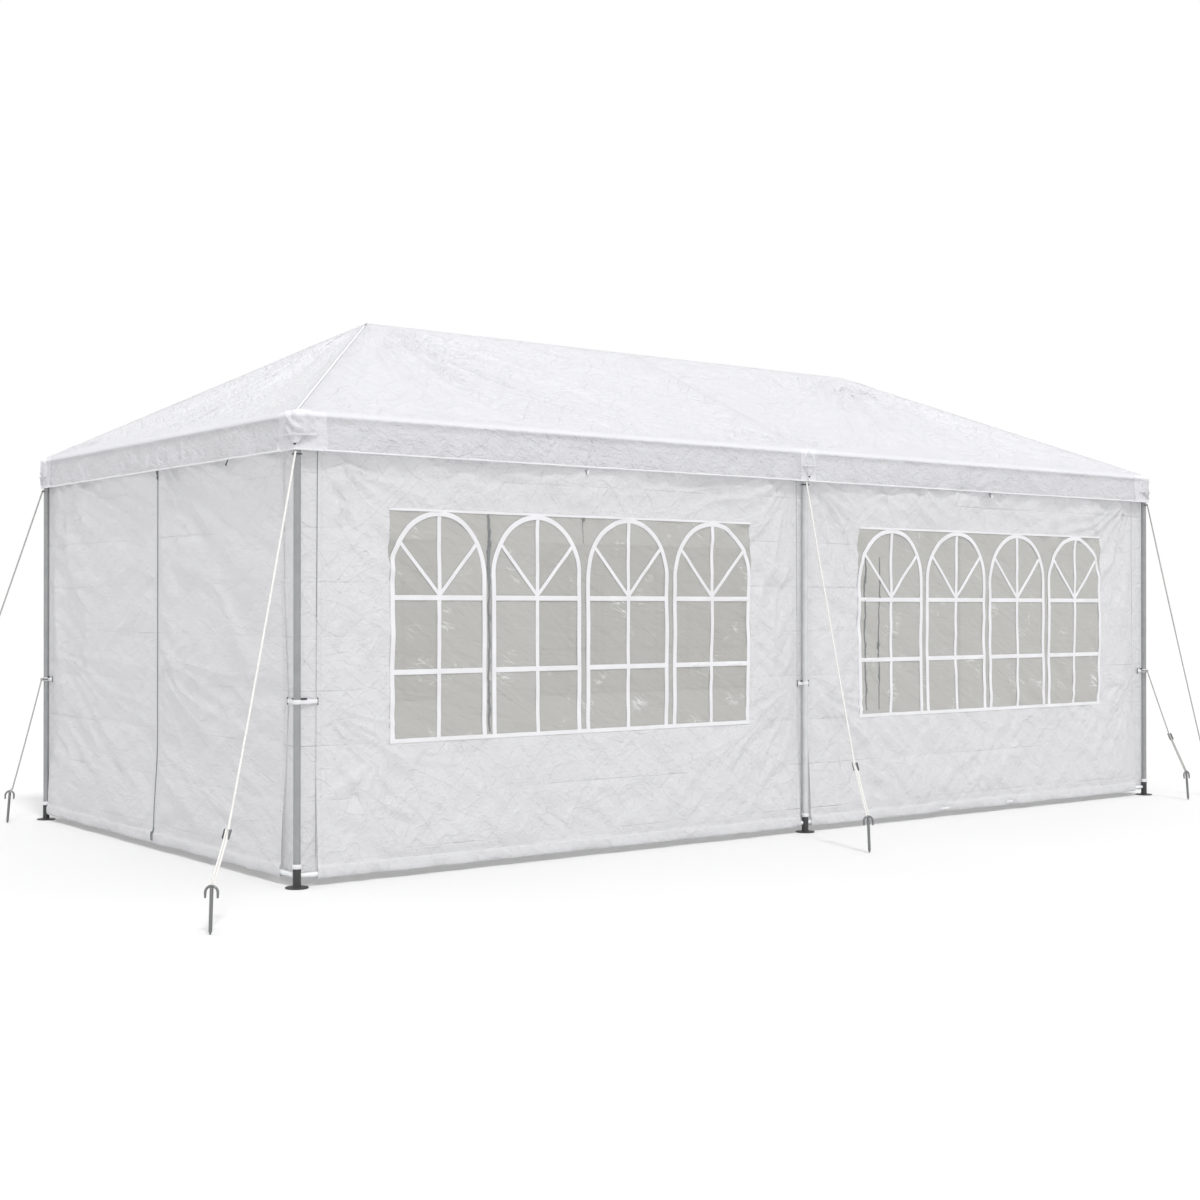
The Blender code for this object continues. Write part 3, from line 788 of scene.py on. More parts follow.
def make_seams(points, normals, shares, fans):
    """Sewn strip along each hip, and one up the middle of each end slope, in tape painted brighter as a
    highlight.
    """
    eave = int(np.searchsorted(shares, 0.0))
    last = int(np.searchsorted(shares, 1.0)) - 2
    seams = []
    for number, fan in enumerate(fans):
        chosen = np.s_[eave + 4:last, fan:fan + CORNER_STEPS - 1]
        strip = Shape().sheet(points[chosen] + normals[chosen] * np.array(HIP_LIFTS)[:, None])
        seams.append(strip.piece(f"hip_seam_{number + 1}", HIP_TAPE_WITH_PAINTED_HIGHLIGHT, "roof_cloth"))
    for name, side in (("left", -1), ("right", 1)):
        middle = int(np.argmin(np.abs(points[0, :, 0] - side * HALF_LENGTH) + np.abs(points[0, :, 1])))
        chosen = np.s_[eave + 3:last, middle]
        lines = [points[chosen] + normals[chosen] * lift + (0, side * aside, 0) for aside, lift in END_SEAM]
        strip = Shape().sheet(np.stack(lines, axis=1))
        seams.append(strip.piece(f"end_seam_{name}", HIP_TAPE_WITH_PAINTED_HIGHLIGHT, "roof_cloth"))
    return seams


def make_binding(hem, outward):
    """Rolled hem round the lower edge of the valance."""
    turn = np.arange(12) * math.tau / 12
    across = squared(np.cos(turn), 0.7) * BINDING_THICKNESS / 2
    upward = squared(np.sin(turn), 0.6) * BINDING_HEIGHT / 2
    middle = hem + outward * 0.0008 + UP * (BINDING_HEIGHT * 0.42)
    wave = 0.00072 * soft_noise(hem, 0.09, 61)[:, None]
    rings = [middle + outward * aside + UP * (lift + wave) for aside, lift in zip(across, upward)]
    faces = np.array(grid_faces(len(hem) + 1, len(turn), closed=True)) % (len(hem) * len(turn))
    shape = Shape()
    shape.add(np.stack(rings, axis=1), faces[:, ::-1].tolist())
    return shape.piece("valance_binding", SEAM, "roof_cloth")


# Patches over the valance

PATCH_LIFT = 0.0024
PATCH_STEP = 0.0035
EYELET_HEIGHT = 1.886
EYELET_RADIUS = 0.0052
EYELET_SIDES = 24
EYELET_OUT = 0.0115         # from the valance's smooth face to the eyelet
PATCH_OUT = 0.018           # how far a patch's folds may stand out
# Reach of the sheet to each side, half width of its flap, how much narrower at the eave, height of its base
CORNER_PATCH = (0.145, 0.098, 0.30, 1.927)
MIDDLE_PATCH = (0.054, 0.046, 0.85, 1.942)


def between(grid, rows, columns):
    """A grid of points read at fractional rows and columns."""
    row = np.clip(rows.astype(int), 0, grid.shape[0] - 2)
    column = np.clip(columns.astype(int), 0, grid.shape[1] - 2)
    down = (rows - row)[:, None, None]
    right = (columns - column)[None, :, None]
    upper = grid[row][:, column] * (1 - right) + grid[row][:, column + 1] * right
    lower = grid[row + 1][:, column] * (1 - right) + grid[row + 1][:, column + 1] * right
    return upper * (1 - down) + lower * down


def patch_relief(across, height, half, narrowing, base, seed):
    """Folded flap from the eave to its piped base, gathered below the base to the eyelet."""
    apex = EAVE_AXIS + 0.014
    tip = EYELET_HEIGHT + 0.004
    share = np.clip((apex - height) / (apex - base), 0, 1)
    upper = half * (1 - narrowing * (1 - share)) - np.abs(across)
    upper = np.minimum(upper, (height - base) + 0.004)
    lower = half * 0.62 * np.clip((height - tip) / (base - tip), 0, 1) + 0.007 - np.abs(across)
    lower = np.where(height < base, lower, -1.0)
    from_tip, tip_distance = streaks(across, height - tip, 4.0, seed + 1)
    flat = stacked(across, height, float(seed))
    folds = 0.0095 * crests(slanted(flat, -0.85, 2.6), 0.034, seed)
    folds = folds + 0.0040 * soft_noise(flat, 0.030, seed + 2)
    flap = 0.0055 + folds * rise(upper, 0.010)
    gather = 0.0090 + 0.0090 * from_tip * rise(tip_distance, 0.015)
    piping = bell(upper - 0.0035, 0.0060, 0.0034)
    total = step_up(upper, 0.004) * flap + step_up(lower, 0.004) * gather + piping
    return np.clip(total, 0.0, PATCH_OUT)


def make_patches(points, normals, shares):
    """Folded reinforcing patch over the valance at every leg, with the eyelet that its rope is tied to."""
    hem = points[0]
    travel = travelled(hem)
    around = travel[-1] + np.linalg.norm(hem[0] - hem[-1])
    top = int(np.searchsorted(shares, 0.0)) + 5
    patches = []
    for number, (row, column) in enumerate(LEGS):
        outward = leg_outward(row, column)
        eyelet = leg_place(row, column) + outward * VALANCE_OFFSET
        nearest = np.argmin(np.linalg.norm((hem - eyelet)[:, :2], axis=1))
        across = (travel - travel[nearest] + around / 2) % around - around / 2
        reach, half, narrowing, base = MIDDLE_PATCH if column == "middle" else CORNER_PATCH
        order = np.argsort(across)
        values = np.linspace(-reach, reach, 2 * round(reach / PATCH_STEP) + 1)
        columns = np.interp(values, across[order], np.arange(len(order)))
        heights = points[:top, nearest, 2]
        count = round((heights[-1] - heights[0]) / PATCH_STEP)
        rows = np.interp(np.linspace(heights[0], heights[-1], count), heights, np.arange(top))
        sheet = between(points[:top, order], rows, columns)
        facing = between(normals[:top, order], rows, columns)
        height = sheet[..., 2]
        relief = PATCH_LIFT + 0.0008 * soft_noise(sheet, 0.03, 71)
        sideways = np.broadcast_to(values, height.shape)
        relief = relief + patch_relief(sideways, height, half, narrowing, base, 400 + 9 * number)
        shape = Shape().sheet(sheet + facing * relief[..., None])
        name = f"{row}_{column}"
        flat_places = stacked(sideways + number, height, 0.0)
        patch = shape.piece(f"patch_{name}", PATCH_CLOTH, "roof_cloth", flat=flat_places)
        patches += [patch, make_eyelet(name, eyelet + outward * EYELET_OUT, outward)]
    return patches


def make_eyelet(name, place, outward):
    """Dark metal ring through a patch, its hole filled with a black disc, painted shade."""
    centre = place + UP * EYELET_HEIGHT
    turn = np.linspace(0, math.tau, EYELET_SIDES + 1)[:, None]
    circle = np.cos(turn) * np.cross(outward, UP) + np.sin(turn) * UP * 0.6
    shape = Shape()
    shape.tube(centre + EYELET_RADIUS * circle, ring_section(0.0012, 8))
    # Black disc filling the hole: painted shade.
    shape.add(centre + (EYELET_RADIUS - 0.001) * circle, [list(range(EYELET_SIDES))])
    return shape.piece(f"eyelet_{name}", BLACK, "steel_tube")


# Walls

WALL_OUT = -0.0195          # cloth plane, inside the leg axes
GRID = 0.0105
CORNER_INSET = 0.100        # from a corner leg's axis to the panel's edge
MIDDLE_INSET = 0.040
END_NEAR_INSET = 0.034
END_FAR_INSET = 0.160
HEM = 0.024
HEM_STEPS = 14
POCKET_MIDDLE = 0.058       # height of the pocket that takes the ground bar
POCKET_HALF_HEIGHT = 0.028
POCKET_HALF_DEPTH = 0.0135
POCKET_TOP = 0.096
PANEL_TALL = 1.995          # flat height of a wall, with its pocket
END_FOLD_SPREAD = 0.5       # folds are twice as long along the end walls
LEAN_REACH = 0.22           # how far in from its edge a panel is pulled aside
FOLD_BAND_SIZE = 0.17       # broad slanting folds
FOLD_BAND_TURN = -0.80
FOLD_BAND_STRETCH = 3.5
WINDOW_CALM = 0.55          # how much flatter the broad folds are inside a window
CREASE_LINE = (0.0038, 0.014)           # depth and width of a level packing crease
UPRIGHT_LINE = (0.0018, 0.013)
UPRIGHT_START = 0.24
UPRIGHT_PITCH = 0.47
SKIRT_TOP = 0.55            # below this a wall leans out to the front of its ground bar
SKIRT_OUT = 0.020
HEADER_BOTTOM = 1.66
HEADER_OUT = 0.012
STRAP_HEIGHT = 0.790
STITCH_PITCH = 0.010
STITCH_LENGTH = 0.0065
STITCH_WIDTH = 0.0016

WINDOW_WIDTH = 2.15
WINDOW_BOTTOM = 0.600
WINDOW_TOP = 1.628
WINDOW_MIDDLES = (BAY - 1.46, BAY + 1.50)
ARCHES = 4
ARCH_GAP = 0.030
ARCH_WIDTH = (WINDOW_WIDTH - (ARCHES - 1) * ARCH_GAP) / ARCHES
ARCH_HEIGHT = 0.285
SPRING = WINDOW_TOP - ARCH_HEIGHT
BAND = 0.024                # width of the white bars
CENTRE_BAND = 0.021
SPOKE_BAND = 0.018
UPPER_RAIL = 1.236
LOWER_RAIL = 0.904
SPOKE_ANGLE = math.radians(41)
SPOKE_STEP = 0.002
SPOKE_LAP = 1.06            # how far a spoke runs into the arch, as a square of the arch's inner reach
FILM_GRID = 0.020
FILM_LAP = 0.004
END_TOGGLE = 2.33           # how far along an end wall its toggle hangs
ZIP_GAP = 0.0045            # from the end wall's middle to each flap's edge
ZIP_WIDTH = 0.017
ZIP_BOTTOM = 0.045
ZIP_TOP = 1.93
# Cord of a full-size toggle: aside, lift from the hem, and out
TOGGLE_LOOP = (
    (-0.004, 0.012, -0.010),
    (-0.006, -0.014, 0.0),
    (0.0, -0.028, 0.004),
    (0.007, -0.014, 0.0),
    (0.004, 0.012, -0.010),
)
STRIP_TUCK = 0.008          # how far the strips behind the legs pass behind the panels
STRIP_OUT = WALL_OUT - 0.0012
STRIP_CORNER_OUT = -0.0128  # a strip lies close to the tube at its corner
STRIP_BOTTOM = 0.060
STRIP_HEIGHTS = np.linspace(STRIP_BOTTOM, WALL_TOP, 100)

# Where folds run down from on a wall's side edges, and on its window's: height, size and reach
EDGE_PULLS = ((STRAP_HEIGHT, 0.0189, 0.50), (HEM_HEIGHT + 0.03, 0.027, 1.00))
WINDOW_PULLS = ((WINDOW_TOP, 0.004, 0.35), (WINDOW_BOTTOM, 0.008, 0.50))
# How a panel's side edge is pulled aside: heights and shifts
CORNER_LEAN = ((0.10, 0.80, 1.97), (-0.002, 0.000, 0.007))
MIDDLE_LEAN = ((0.10, 0.80, 1.97), (0.000, -0.001, -0.007))
FAR_CORNER_LEAN = ((0.10, 0.80, 1.97), (0.002, 0.000, -0.007))
FLAP_LEAN = ((0.08, 0.35, 0.62, 0.79, 0.96, 1.30, 1.97), (0.018, 0.016, 0.030, 0.046, 0.028, 0.006, 0.0))
# Dark lines painted on the films of the first and second bay, for the far poles seen through them and the
# shade in their creases: how many lights along, bottom, top and width
FIRST_MARKS = (
    (1, 1.30, WINDOW_TOP - 0.008, 0.014),
    (1, WINDOW_BOTTOM + 0.02, WINDOW_TOP - 0.008, 0.0090),
    (2, 1.50, WINDOW_TOP - 0.008, 0.0012),
)
SECOND_MARKS = ((0.13, WINDOW_BOTTOM + 0.03, 1.47, 0.0075), (0.33, WINDOW_BOTTOM + 0.03, 1.47, 0.0045))


def pocket_profile():
    """Cloth round the ground bar, from its front down and under it: heights and distances outwards."""
    turn = np.radians(75 - 225 * np.arange(HEM_STEPS) / (HEM_STEPS - 1))
    heights = POCKET_MIDDLE + POCKET_HALF_HEIGHT * squared(np.sin(turn), 0.75)
    return heights, BAR_OUT + 0.001 + POCKET_HALF_DEPTH * squared(np.cos(turn), 0.55)


def skirt(height):
    """How far a wall leans out at a height, towards its ground bar."""
    return SKIRT_OUT * step_up(SKIRT_TOP - height, SKIRT_TOP - POCKET_TOP)


def header(height, edge):
    """How far a wall leans out at a height, towards the valance that it hangs behind."""
    return HEADER_OUT * step_up(height - HEADER_BOTTOM, HEM_HEIGHT - HEADER_BOTTOM) * rise(edge, 0.10)


class Panel:
    """A sheet of wall between two distances along its wall."""

    def __init__(self, wall, start, end, seed, window=None, pulls=(), leans=(None, None)):
        self.wall = wall
        self.start = start
        self.end = end
        self.seed = seed
        self.window = window
        self.pulls = pulls
        self.leans = leans
        self.spread = 1.0 if wall in LONG_WALLS else END_FOLD_SPREAD

    def sheet_place(self, along, height):
        """Flat place of a point, drawn together along the end walls, where folds lie flatter."""
        return stacked(along * self.spread, height, 0.37 * self.seed)

    def points(self, along, height, out):
        """Points of the panel once its side edges are pulled aside."""
        for edge, lean in zip((self.start, self.end), self.leans):
            if lean is not None:
                shift = np.interp(height, *lean)
                along = along + shift * np.clip(1 - np.abs(along - edge) / LEAN_REACH, 0, 1) ** 2
        return wall_points(self.wall, along, height, out)

    def edge(self, along):
        return np.minimum(along - self.start, self.end - along)

    def inside_window(self, along, height):
        """Distance inside the window's rectangle, below 0 outside it."""
        low, high = self.window or (9.0, -9.0)
        aside = np.minimum(along - low, high - along)
        return np.minimum(aside, np.minimum(height - WINDOW_BOTTOM, WINDOW_TOP - height))

    def broad(self, along, height):
        """Wide folds shared by the cloth and its window film."""
        place = self.sheet_place(along, height)
        moved = slanted(warped(place, 0.5, 0.10, self.seed + 90), FOLD_BAND_TURN, FOLD_BAND_STRETCH)
        bands = (0.0035 + 0.0045 * self.spread) * crests(moved, FOLD_BAND_SIZE, self.seed + 7)
        total = 0.014 * soft_noise(place, 0.70, self.seed) + bands
        bent = warped(place, 0.35, 0.05, self.seed + 60)
        for number, (at, up, size, reach) in enumerate(self.pulls):
            across, above = bent[..., 0] - at * self.spread, bent[..., 1] - up
            fold, distance = streaks(across, above, 5.5, self.seed + 20 + number)
            below = np.clip(0.3 + (up - height) / 0.15, 0, 1)
            total = total + fold * below * rise(distance, 0.07) * bell(distance, size, reach)
        total = total * (1 - WINDOW_CALM * step_up(self.inside_window(along, height), 0.15))
        ends = rise(WALL_TOP + 0.02 - height, 0.10) * rise(height - 0.06, 0.07)
        return total * rise(self.edge(along), 0.09) * ends

    def relief(self, along, height):
        """All of the cloth's height over its flat plane."""
        place = self.sheet_place(along, height)
        fine = crinkle(place, self.seed + 50)
        strength = 0.4 + soft_noise(place, 0.4, self.seed + 5)
        for line in np.arange(CREASE_START, WALL_TOP, CREASE_PITCH):
            fine = fine - bell(height - line, *CREASE_LINE) * strength
        for line in np.arange(self.start + UPRIGHT_START, self.end, UPRIGHT_PITCH):
            fine = fine - bell(along - line, *UPRIGHT_LINE)
        edge = self.edge(along)
        outside = np.maximum(-self.inside_window(along, height), 0.0)
        near = rise(edge, 0.05) * rise(outside, 0.045)
        near = near * rise(WALL_TOP + 0.03 - height, 0.05) * rise(height - POCKET_TOP + 0.02, 0.04)
        hem = np.where(edge < HEM, 0.0014, 0.0)
        return self.broad(along, height) + fine * near + hem + skirt(height) + header(height, edge)


def panel_cloth(name, panel, replaced):
    """Wall cloth with its bottom pocket and side hems, cut out round the window."""
    breaks = [panel.start, panel.start + HEM, panel.start + HEM + 0.002, *(panel.window or ()),
              panel.end - HEM - 0.002, panel.end - HEM, panel.end]
    heights = spaced((POCKET_TOP, WINDOW_BOTTOM, WINDOW_TOP, WALL_TOP), GRID)[::-1]
    pocket_heights, pocket_outs = pocket_profile()
    base = np.concatenate((np.full(len(heights), WALL_OUT), pocket_outs - SKIRT_OUT))
    along, height = np.meshgrid(spaced(breaks, GRID), np.concatenate((heights, pocket_heights)))
    place = stacked(along, height, 5.0)
    pocket = np.clip((POCKET_TOP - height) / 0.02, 0, 1)
    wrinkle = 0.0030 * soft_noise(place * (1, 0.5, 1), 0.045, panel.seed + 3)
    wrinkle = np.clip(wrinkle + 0.0020 * crests(place, 0.07, panel.seed + 4), -0.0008, 0.004)
    out = base[:, None] + panel.relief(along, height) + pocket * wrinkle
    faces = np.array(grid_faces(*out.shape))
    middles = (grid.reshape(-1)[faces].mean(axis=1) for grid in (along, height))
    faces = faces[panel.inside_window(*middles) <= 0]
    shape = Shape()
    shape.add(panel.points(along, height, out), faces[:, ::-1].tolist())
    return shape.piece(name, WALL_CLOTH, "wall_cloth", [replaced], flat=panel.sheet_place(along, height))


def declare_panel(panel):
    """Area of a panel's cloth, less its window. The area is not used further."""
    width = panel.end - panel.start
    area = width * PANEL_TALL
    if panel.window:
        area -= WINDOW_WIDTH * (WINDOW_TOP - WINDOW_BOTTOM)


def ribbon(shape, panel, path, width, lift):
    """Flat band welded on a wall or its film, along (distance, height) points."""
    low = panel.broad(*path.T)
    run = unit(np.gradient(path, axis=0))
    side = stacked(-run[:, 1], run[:, 0])
    rings = []
    for share, raised in ((-0.5, 0.15), (-0.42, 1.0), (0.42, 1.0), (0.5, 0.15)):
        along, height = (path + side * share * width).T
        rings.append(panel.points(along, height, WALL_OUT + low + lift * raised))
    shape.sheet(np.stack(rings))


def straight(start, end, spacing=0.02):
    """Points of a straight line on a wall."""
    start, end = np.array(start, float), np.array(end, float)
    count = max(2, round(np.linalg.norm(end - start) / spacing) + 1)
    return start + (end - start) * np.linspace(0, 1, count)[:, None]


def stitches(shape, panel, start, end, lift):
    """Row of short raised stitches along a straight line on a wall."""
    start, end = np.array(start), np.array(end)
    length = np.linalg.norm(end - start)
    run = (end - start) / length
    starts = start + run * np.arange(0, length - STITCH_LENGTH, STITCH_PITCH)[:, None]
    side = np.array((-run[1], run[0])) * STITCH_WIDTH / 2
    out = panel.relief(*starts.T) + WALL_OUT + lift
    ahead = run * STITCH_LENGTH
    shifts = (side, ahead + side, ahead - side, -side)
    corners = [panel.points(*(starts + shift).T, out) for shift in shifts]
    shape.add(np.stack(corners, axis=1), np.arange(4 * len(starts)).reshape(-1, 4).tolist())


def arch_path(left, right, inset):
    """Outline of an arched light: up one side, over the top and down the other."""
    middle = (left + right) / 2
    reach = (right - left) / 2 - inset
    turn = np.linspace(math.pi, 0, 41)
    top = stacked(middle + reach * np.cos(turn), SPRING + (ARCH_HEIGHT - inset) * np.sin(turn))
    up = straight((middle - reach, WINDOW_BOTTOM), (middle - reach, SPRING))[:-1]
    down = straight((middle + reach, SPRING), (middle + reach, WINDOW_BOTTOM))[1:]
    return np.vstack((up, top, down))


def spoke_end(hub, slant):
    """Where a slanting bar from the hub meets the arch."""
    length = np.cumsum(np.full(400, SPOKE_STEP))
    aside = length * slant[0] / (ARCH_WIDTH / 2 - BAND)
    above = np.maximum(hub[1] + length * slant[1] - SPRING, 0) / (ARCH_HEIGHT - BAND)
    length = length[np.argmax(aside ** 2 + above ** 2 >= SPOKE_LAP)]
    return (hub[0] + slant[0] * length, hub[1] + slant[1] * length)


def window_bars(name, panel):
    """White bars of the four arched lights, and the bright strips along the window's edges."""
    shape = Shape()
    low, high = panel.window
    for number in range(ARCHES):
        left = low + number * (ARCH_WIDTH + ARCH_GAP)
        right = left + ARCH_WIDTH
        middle = (left + right) / 2
        ribbon(shape, panel, arch_path(left, right, BAND / 2), BAND, 0.0030)
        centre = straight((middle, WINDOW_BOTTOM), (middle, WINDOW_TOP - BAND * 0.8))
        ribbon(shape, panel, centre, CENTRE_BAND, 0.0024)
        for height in (UPPER_RAIL, LOWER_RAIL):
            rail = straight((left + BAND * 0.6, height), (right - BAND * 0.6, height))
            ribbon(shape, panel, rail, BAND, 0.0027)
        hub = (middle, UPPER_RAIL + BAND / 2)
        for side in (-1, 1):
            slant = (side * math.sin(SPOKE_ANGLE), math.cos(SPOKE_ANGLE))
            ribbon(shape, panel, straight(hub, spoke_end(hub, slant)), SPOKE_BAND, 0.0021)
    for height, width in ((WINDOW_BOTTOM - 0.001, 0.020), (WINDOW_TOP + 0.001, 0.012)):
        ribbon(shape, panel, straight((low - FILM_LAP, height), (high + FILM_LAP, height)), width, 0.0032)
    return shape.piece(f"window_bars_{name}", TAPE, "wall_cloth")


def window_shade_lines_and_rivet(name, panel):
    """Painted dark lines down the film, for the far poles seen through it and the shade in its creases,
    painted shadow lines along the wall's side edges, and a rivet over the window.
    """
    shape = Shape()
    low = panel.window[0] - ARCH_GAP / 2
    pitch = ARCH_WIDTH + ARCH_GAP
    for number, bottom, top, width in SECOND_MARKS if panel.start > BAY else FIRST_MARKS:
        middle = low + number * pitch
        path = straight((middle, bottom), (middle, top), 0.012)
        place = stacked(path[:, 0], path[:, 1], 0.0)
        sway = 0.006 * soft_noise(place, 0.16, panel.seed + 1)
        path = path + stacked(sway + 0.004 * soft_noise(place, 0.035, panel.seed + 2), 0.0)
        ribbon(shape, panel, path, width, 0.0016)
        random = np.random.RandomState(panel.seed + int(100 * number))
        for begin in random.randint(0, len(path) - 6, 12) if width > 0.004 else ():
            part = path[begin:begin + random.randint(2, 5)] + (random.normal() * 0.003, 0)
            ribbon(shape, panel, part, width * random.uniform(0.9, 1.6), 0.0018)
    # Painted shadow: thin dark lines down a pulled panel's side edges, where the panel meets the strip behind
    # the leg.
    for along, lean in ((panel.start + 0.001, panel.leans[0]), (panel.end - 0.001, panel.leans[1])):
        if lean is not None:
            ribbon(shape, panel, straight((along, 1.15), (along, 1.94)), 0.0030, 0.0016)
            ribbon(shape, panel, straight((along, 0.12), (along, 1.15)), 0.0010, 0.0016)
    block(shape, panel.wall, (low + 2 * pitch, WINDOW_TOP - 0.012, WALL_OUT + 0.004), (0.014, 0.014, 0.004))
    return shape.piece(f"window_shade_lines_and_rivet_{name}", ZIP_AND_SHADE_LINES, "wall_cloth")


def window_film(name, panel):
    """Film behind the bars, wrinkled a little inside its edges."""
    low, high = panel.window
    along, height = np.meshgrid(spaced((low - FILM_LAP, high + FILM_LAP), FILM_GRID),
                                spaced((WINDOW_BOTTOM - FILM_LAP, WINDOW_TOP + FILM_LAP), FILM_GRID))
    place = stacked(along, height, 2.0)
    inside = np.clip(panel.inside_window(along, height), 0, None)
    wave = 0.0016 * soft_noise(place, 0.16, panel.seed + 31) + 0.0012 * crests(place, 0.22, panel.seed + 32)
    out = WALL_OUT - 0.0006 + panel.broad(along, height) + (wave - 0.0012) * rise(inside, 0.05) * 0.8
    shape = Shape().sheet(wall_points(panel.wall, along, height, out))
    replaced = [f"window_film_{name}"]
    film = shape.piece(f"film_{name}", FILM, "window_film", replaced, flat=place + UP * panel.seed)


def panel_seams(name, panel):
    """Stitching along the hems of a wall."""
    shape = Shape()
    for along in (panel.start + HEM - 0.003, panel.end - HEM + 0.003):
        stitches(shape, panel, (along, POCKET_TOP + 0.01), (along, 1.90), 0.0014)
    height = POCKET_TOP + 0.006
    stitches(shape, panel, (panel.start + 0.01, height), (panel.end - 0.01, height), 0.0012)
    return shape.piece(f"seams_{name}", TAPE, "wall_cloth")


def make_window_walls():
    """Two walls a side. The back is the front turned half round."""
    for number, wall in enumerate(LONG_WALLS):
        for bay, middle in enumerate(WINDOW_MIDDLES):
            start = CORNER_INSET if bay == 0 else BAY + MIDDLE_INSET
            end = BAY - MIDDLE_INSET if bay == 0 else LENGTH - CORNER_INSET
            name = f"{wall}_{'left' if number == bay else 'right'}"
            window = (middle - WINDOW_WIDTH / 2, middle + WINDOW_WIDTH / 2)
            pulls = [(along, *pull) for along in (start, end) for pull in EDGE_PULLS]
            pulls += [(along, *pull) for pull in WINDOW_PULLS for along in window]
            leans = (CORNER_LEAN, MIDDLE_LEAN) if bay == 0 else (None, FAR_CORNER_LEAN)
            panel = Panel(wall, start, end, 100 + 17 * (2 * number + bay), window, pulls, leans)
            cloth = panel_cloth(f"wall_{name}", panel, f"window_wall_{name}")
            extras = [window_bars(name, panel), panel_seams(name, panel), window_shade_lines_and_rivet(name, panel)]
            extras.append(make_toggle(name, wall, middle, TAPE))
            window_film(name, panel)
            declare_panel(panel)


def make_end_walls():
    """Two flaps at each end, with a zip between them."""
    middle = WIDTH / 2
    for number, wall in enumerate(("left", "right")):
        rows = ("back", "front") if wall == "left" else ("front", "back")
        for half, row in enumerate(rows):
            start = END_NEAR_INSET if half == 0 else middle + ZIP_GAP
            end = middle - ZIP_GAP if half == 0 else WIDTH - END_FAR_INSET
            name = f"{wall}_{row}"
            pulls = [(start - 0.10, 2.10, 0.031, 1.50), (start, 1.0, 0.016, 0.80)]
            leans = (None, None if half == 0 else FLAP_LEAN)
            panel = Panel(wall, start, end, 300 + 23 * (2 * number + half), None, pulls, leans)
            cloth = panel_cloth(f"flap_{name}", panel, f"end_flap_{name}")
            extras = [panel_seams(name, panel)]
            if half == 0:
                extras.append(make_zip(wall, middle))
            else:
                extras.append(make_toggle(name, wall, END_TOGGLE, BLACK, 0.5))
            declare_panel(panel)


def block(shape, wall, middle, size, tilt=0.0):
    """Small block with rounded edges on a wall: middle and size are (along, height, out)."""
    form = bmesh.new()
    bmesh.ops.create_cube(form, size=1.0, matrix=Matrix.Diagonal((*size, 1.0)))
    rounding = min(size) * 0.25
    bmesh.ops.bevel(form, geom=form.edges[:], offset=rounding, segments=1, affect="EDGES", profile=0.5)
    turn = Matrix.Rotation(tilt, 4, "Z")
    points = np.array([tuple(turn @ vertex.co) for vertex in form.verts]) + middle
    faces = [[vertex.index for vertex in face.verts][::-1] for face in form.faces]
    form.free()
    shape.add(wall_points(wall, *points.T), faces)


def zip_out(height):
    """How far out the zip lies at a height: with the flaps' edges, and in front of their pockets."""
    return WALL_OUT + 0.0005 + skirt(height) + 0.009 * step_up(POCKET_TOP - height, 0.015)


def make_zip(wall, middle):
    """Zip with its tape, teeth and two sliders, pulled shut from top and bottom."""
    aside = (-ZIP_WIDTH / 2, -0.004, 0.004, ZIP_WIDTH / 2)
    along, height = np.meshgrid(aside, np.linspace(ZIP_BOTTOM, ZIP_TOP, 90))
    raised = 0.001 * (np.abs(along) < 0.005)
    shape = Shape().sheet(wall_points(wall, middle + along, height, zip_out(height) + raised))
    for number, height in enumerate(np.arange(ZIP_BOTTOM, ZIP_TOP, 0.008)):
        side = 0.0016 if number % 2 else -0.0016
        block(shape, wall, (middle + side, height, zip_out(height) + 0.0022), (0.0048, 0.0045, 0.0022))
    for height, drop in ((ZIP_BOTTOM + 0.035, 0.020), (ZIP_TOP - 0.095, -0.026)):
        out = zip_out(height)
        block(shape, wall, (middle, height, out + 0.0045), (0.011, 0.017, 0.006))
        block(shape, wall, (middle + 0.002, height - drop, out + 0.0085), (0.009, 0.030, 0.0025), 0.12)
    return shape.piece(f"zip_{wall}", ZIP_AND_SHADE_LINES, "wall_cloth", sharp=30)


def make_toggle(name, wall, middle, material, size=1.0):
    """Toggle on a dark loop under the valance."""
    loop = [wall_points(wall, middle + aside * size, HEM_HEIGHT + lift * size, 0.006 + out * size)
            for aside, lift, out in TOGGLE_LOOP]
    steps = np.arange(9) / 8
    heights = HEM_HEIGHT - 0.012 - 0.024 * size * steps
    bead = Shape()
    bead.tube(wall_points(wall, middle + 0.003, heights, 0.012), ring_section(0.0068 * size, 12),
              scale=0.25 + 0.75 * np.sin(math.pi * (0.08 + 0.84 * steps)))
    bead = bead.piece(f"toggle_{name}", material, "wall_cloth")
    cord = Shape()
    cord.tube(smooth_path(loop, 0.003), ring_section(0.0016, 6))
    cord.piece(f"toggle_loop_{name}", BLACK, "wall_cloth")
    return bead


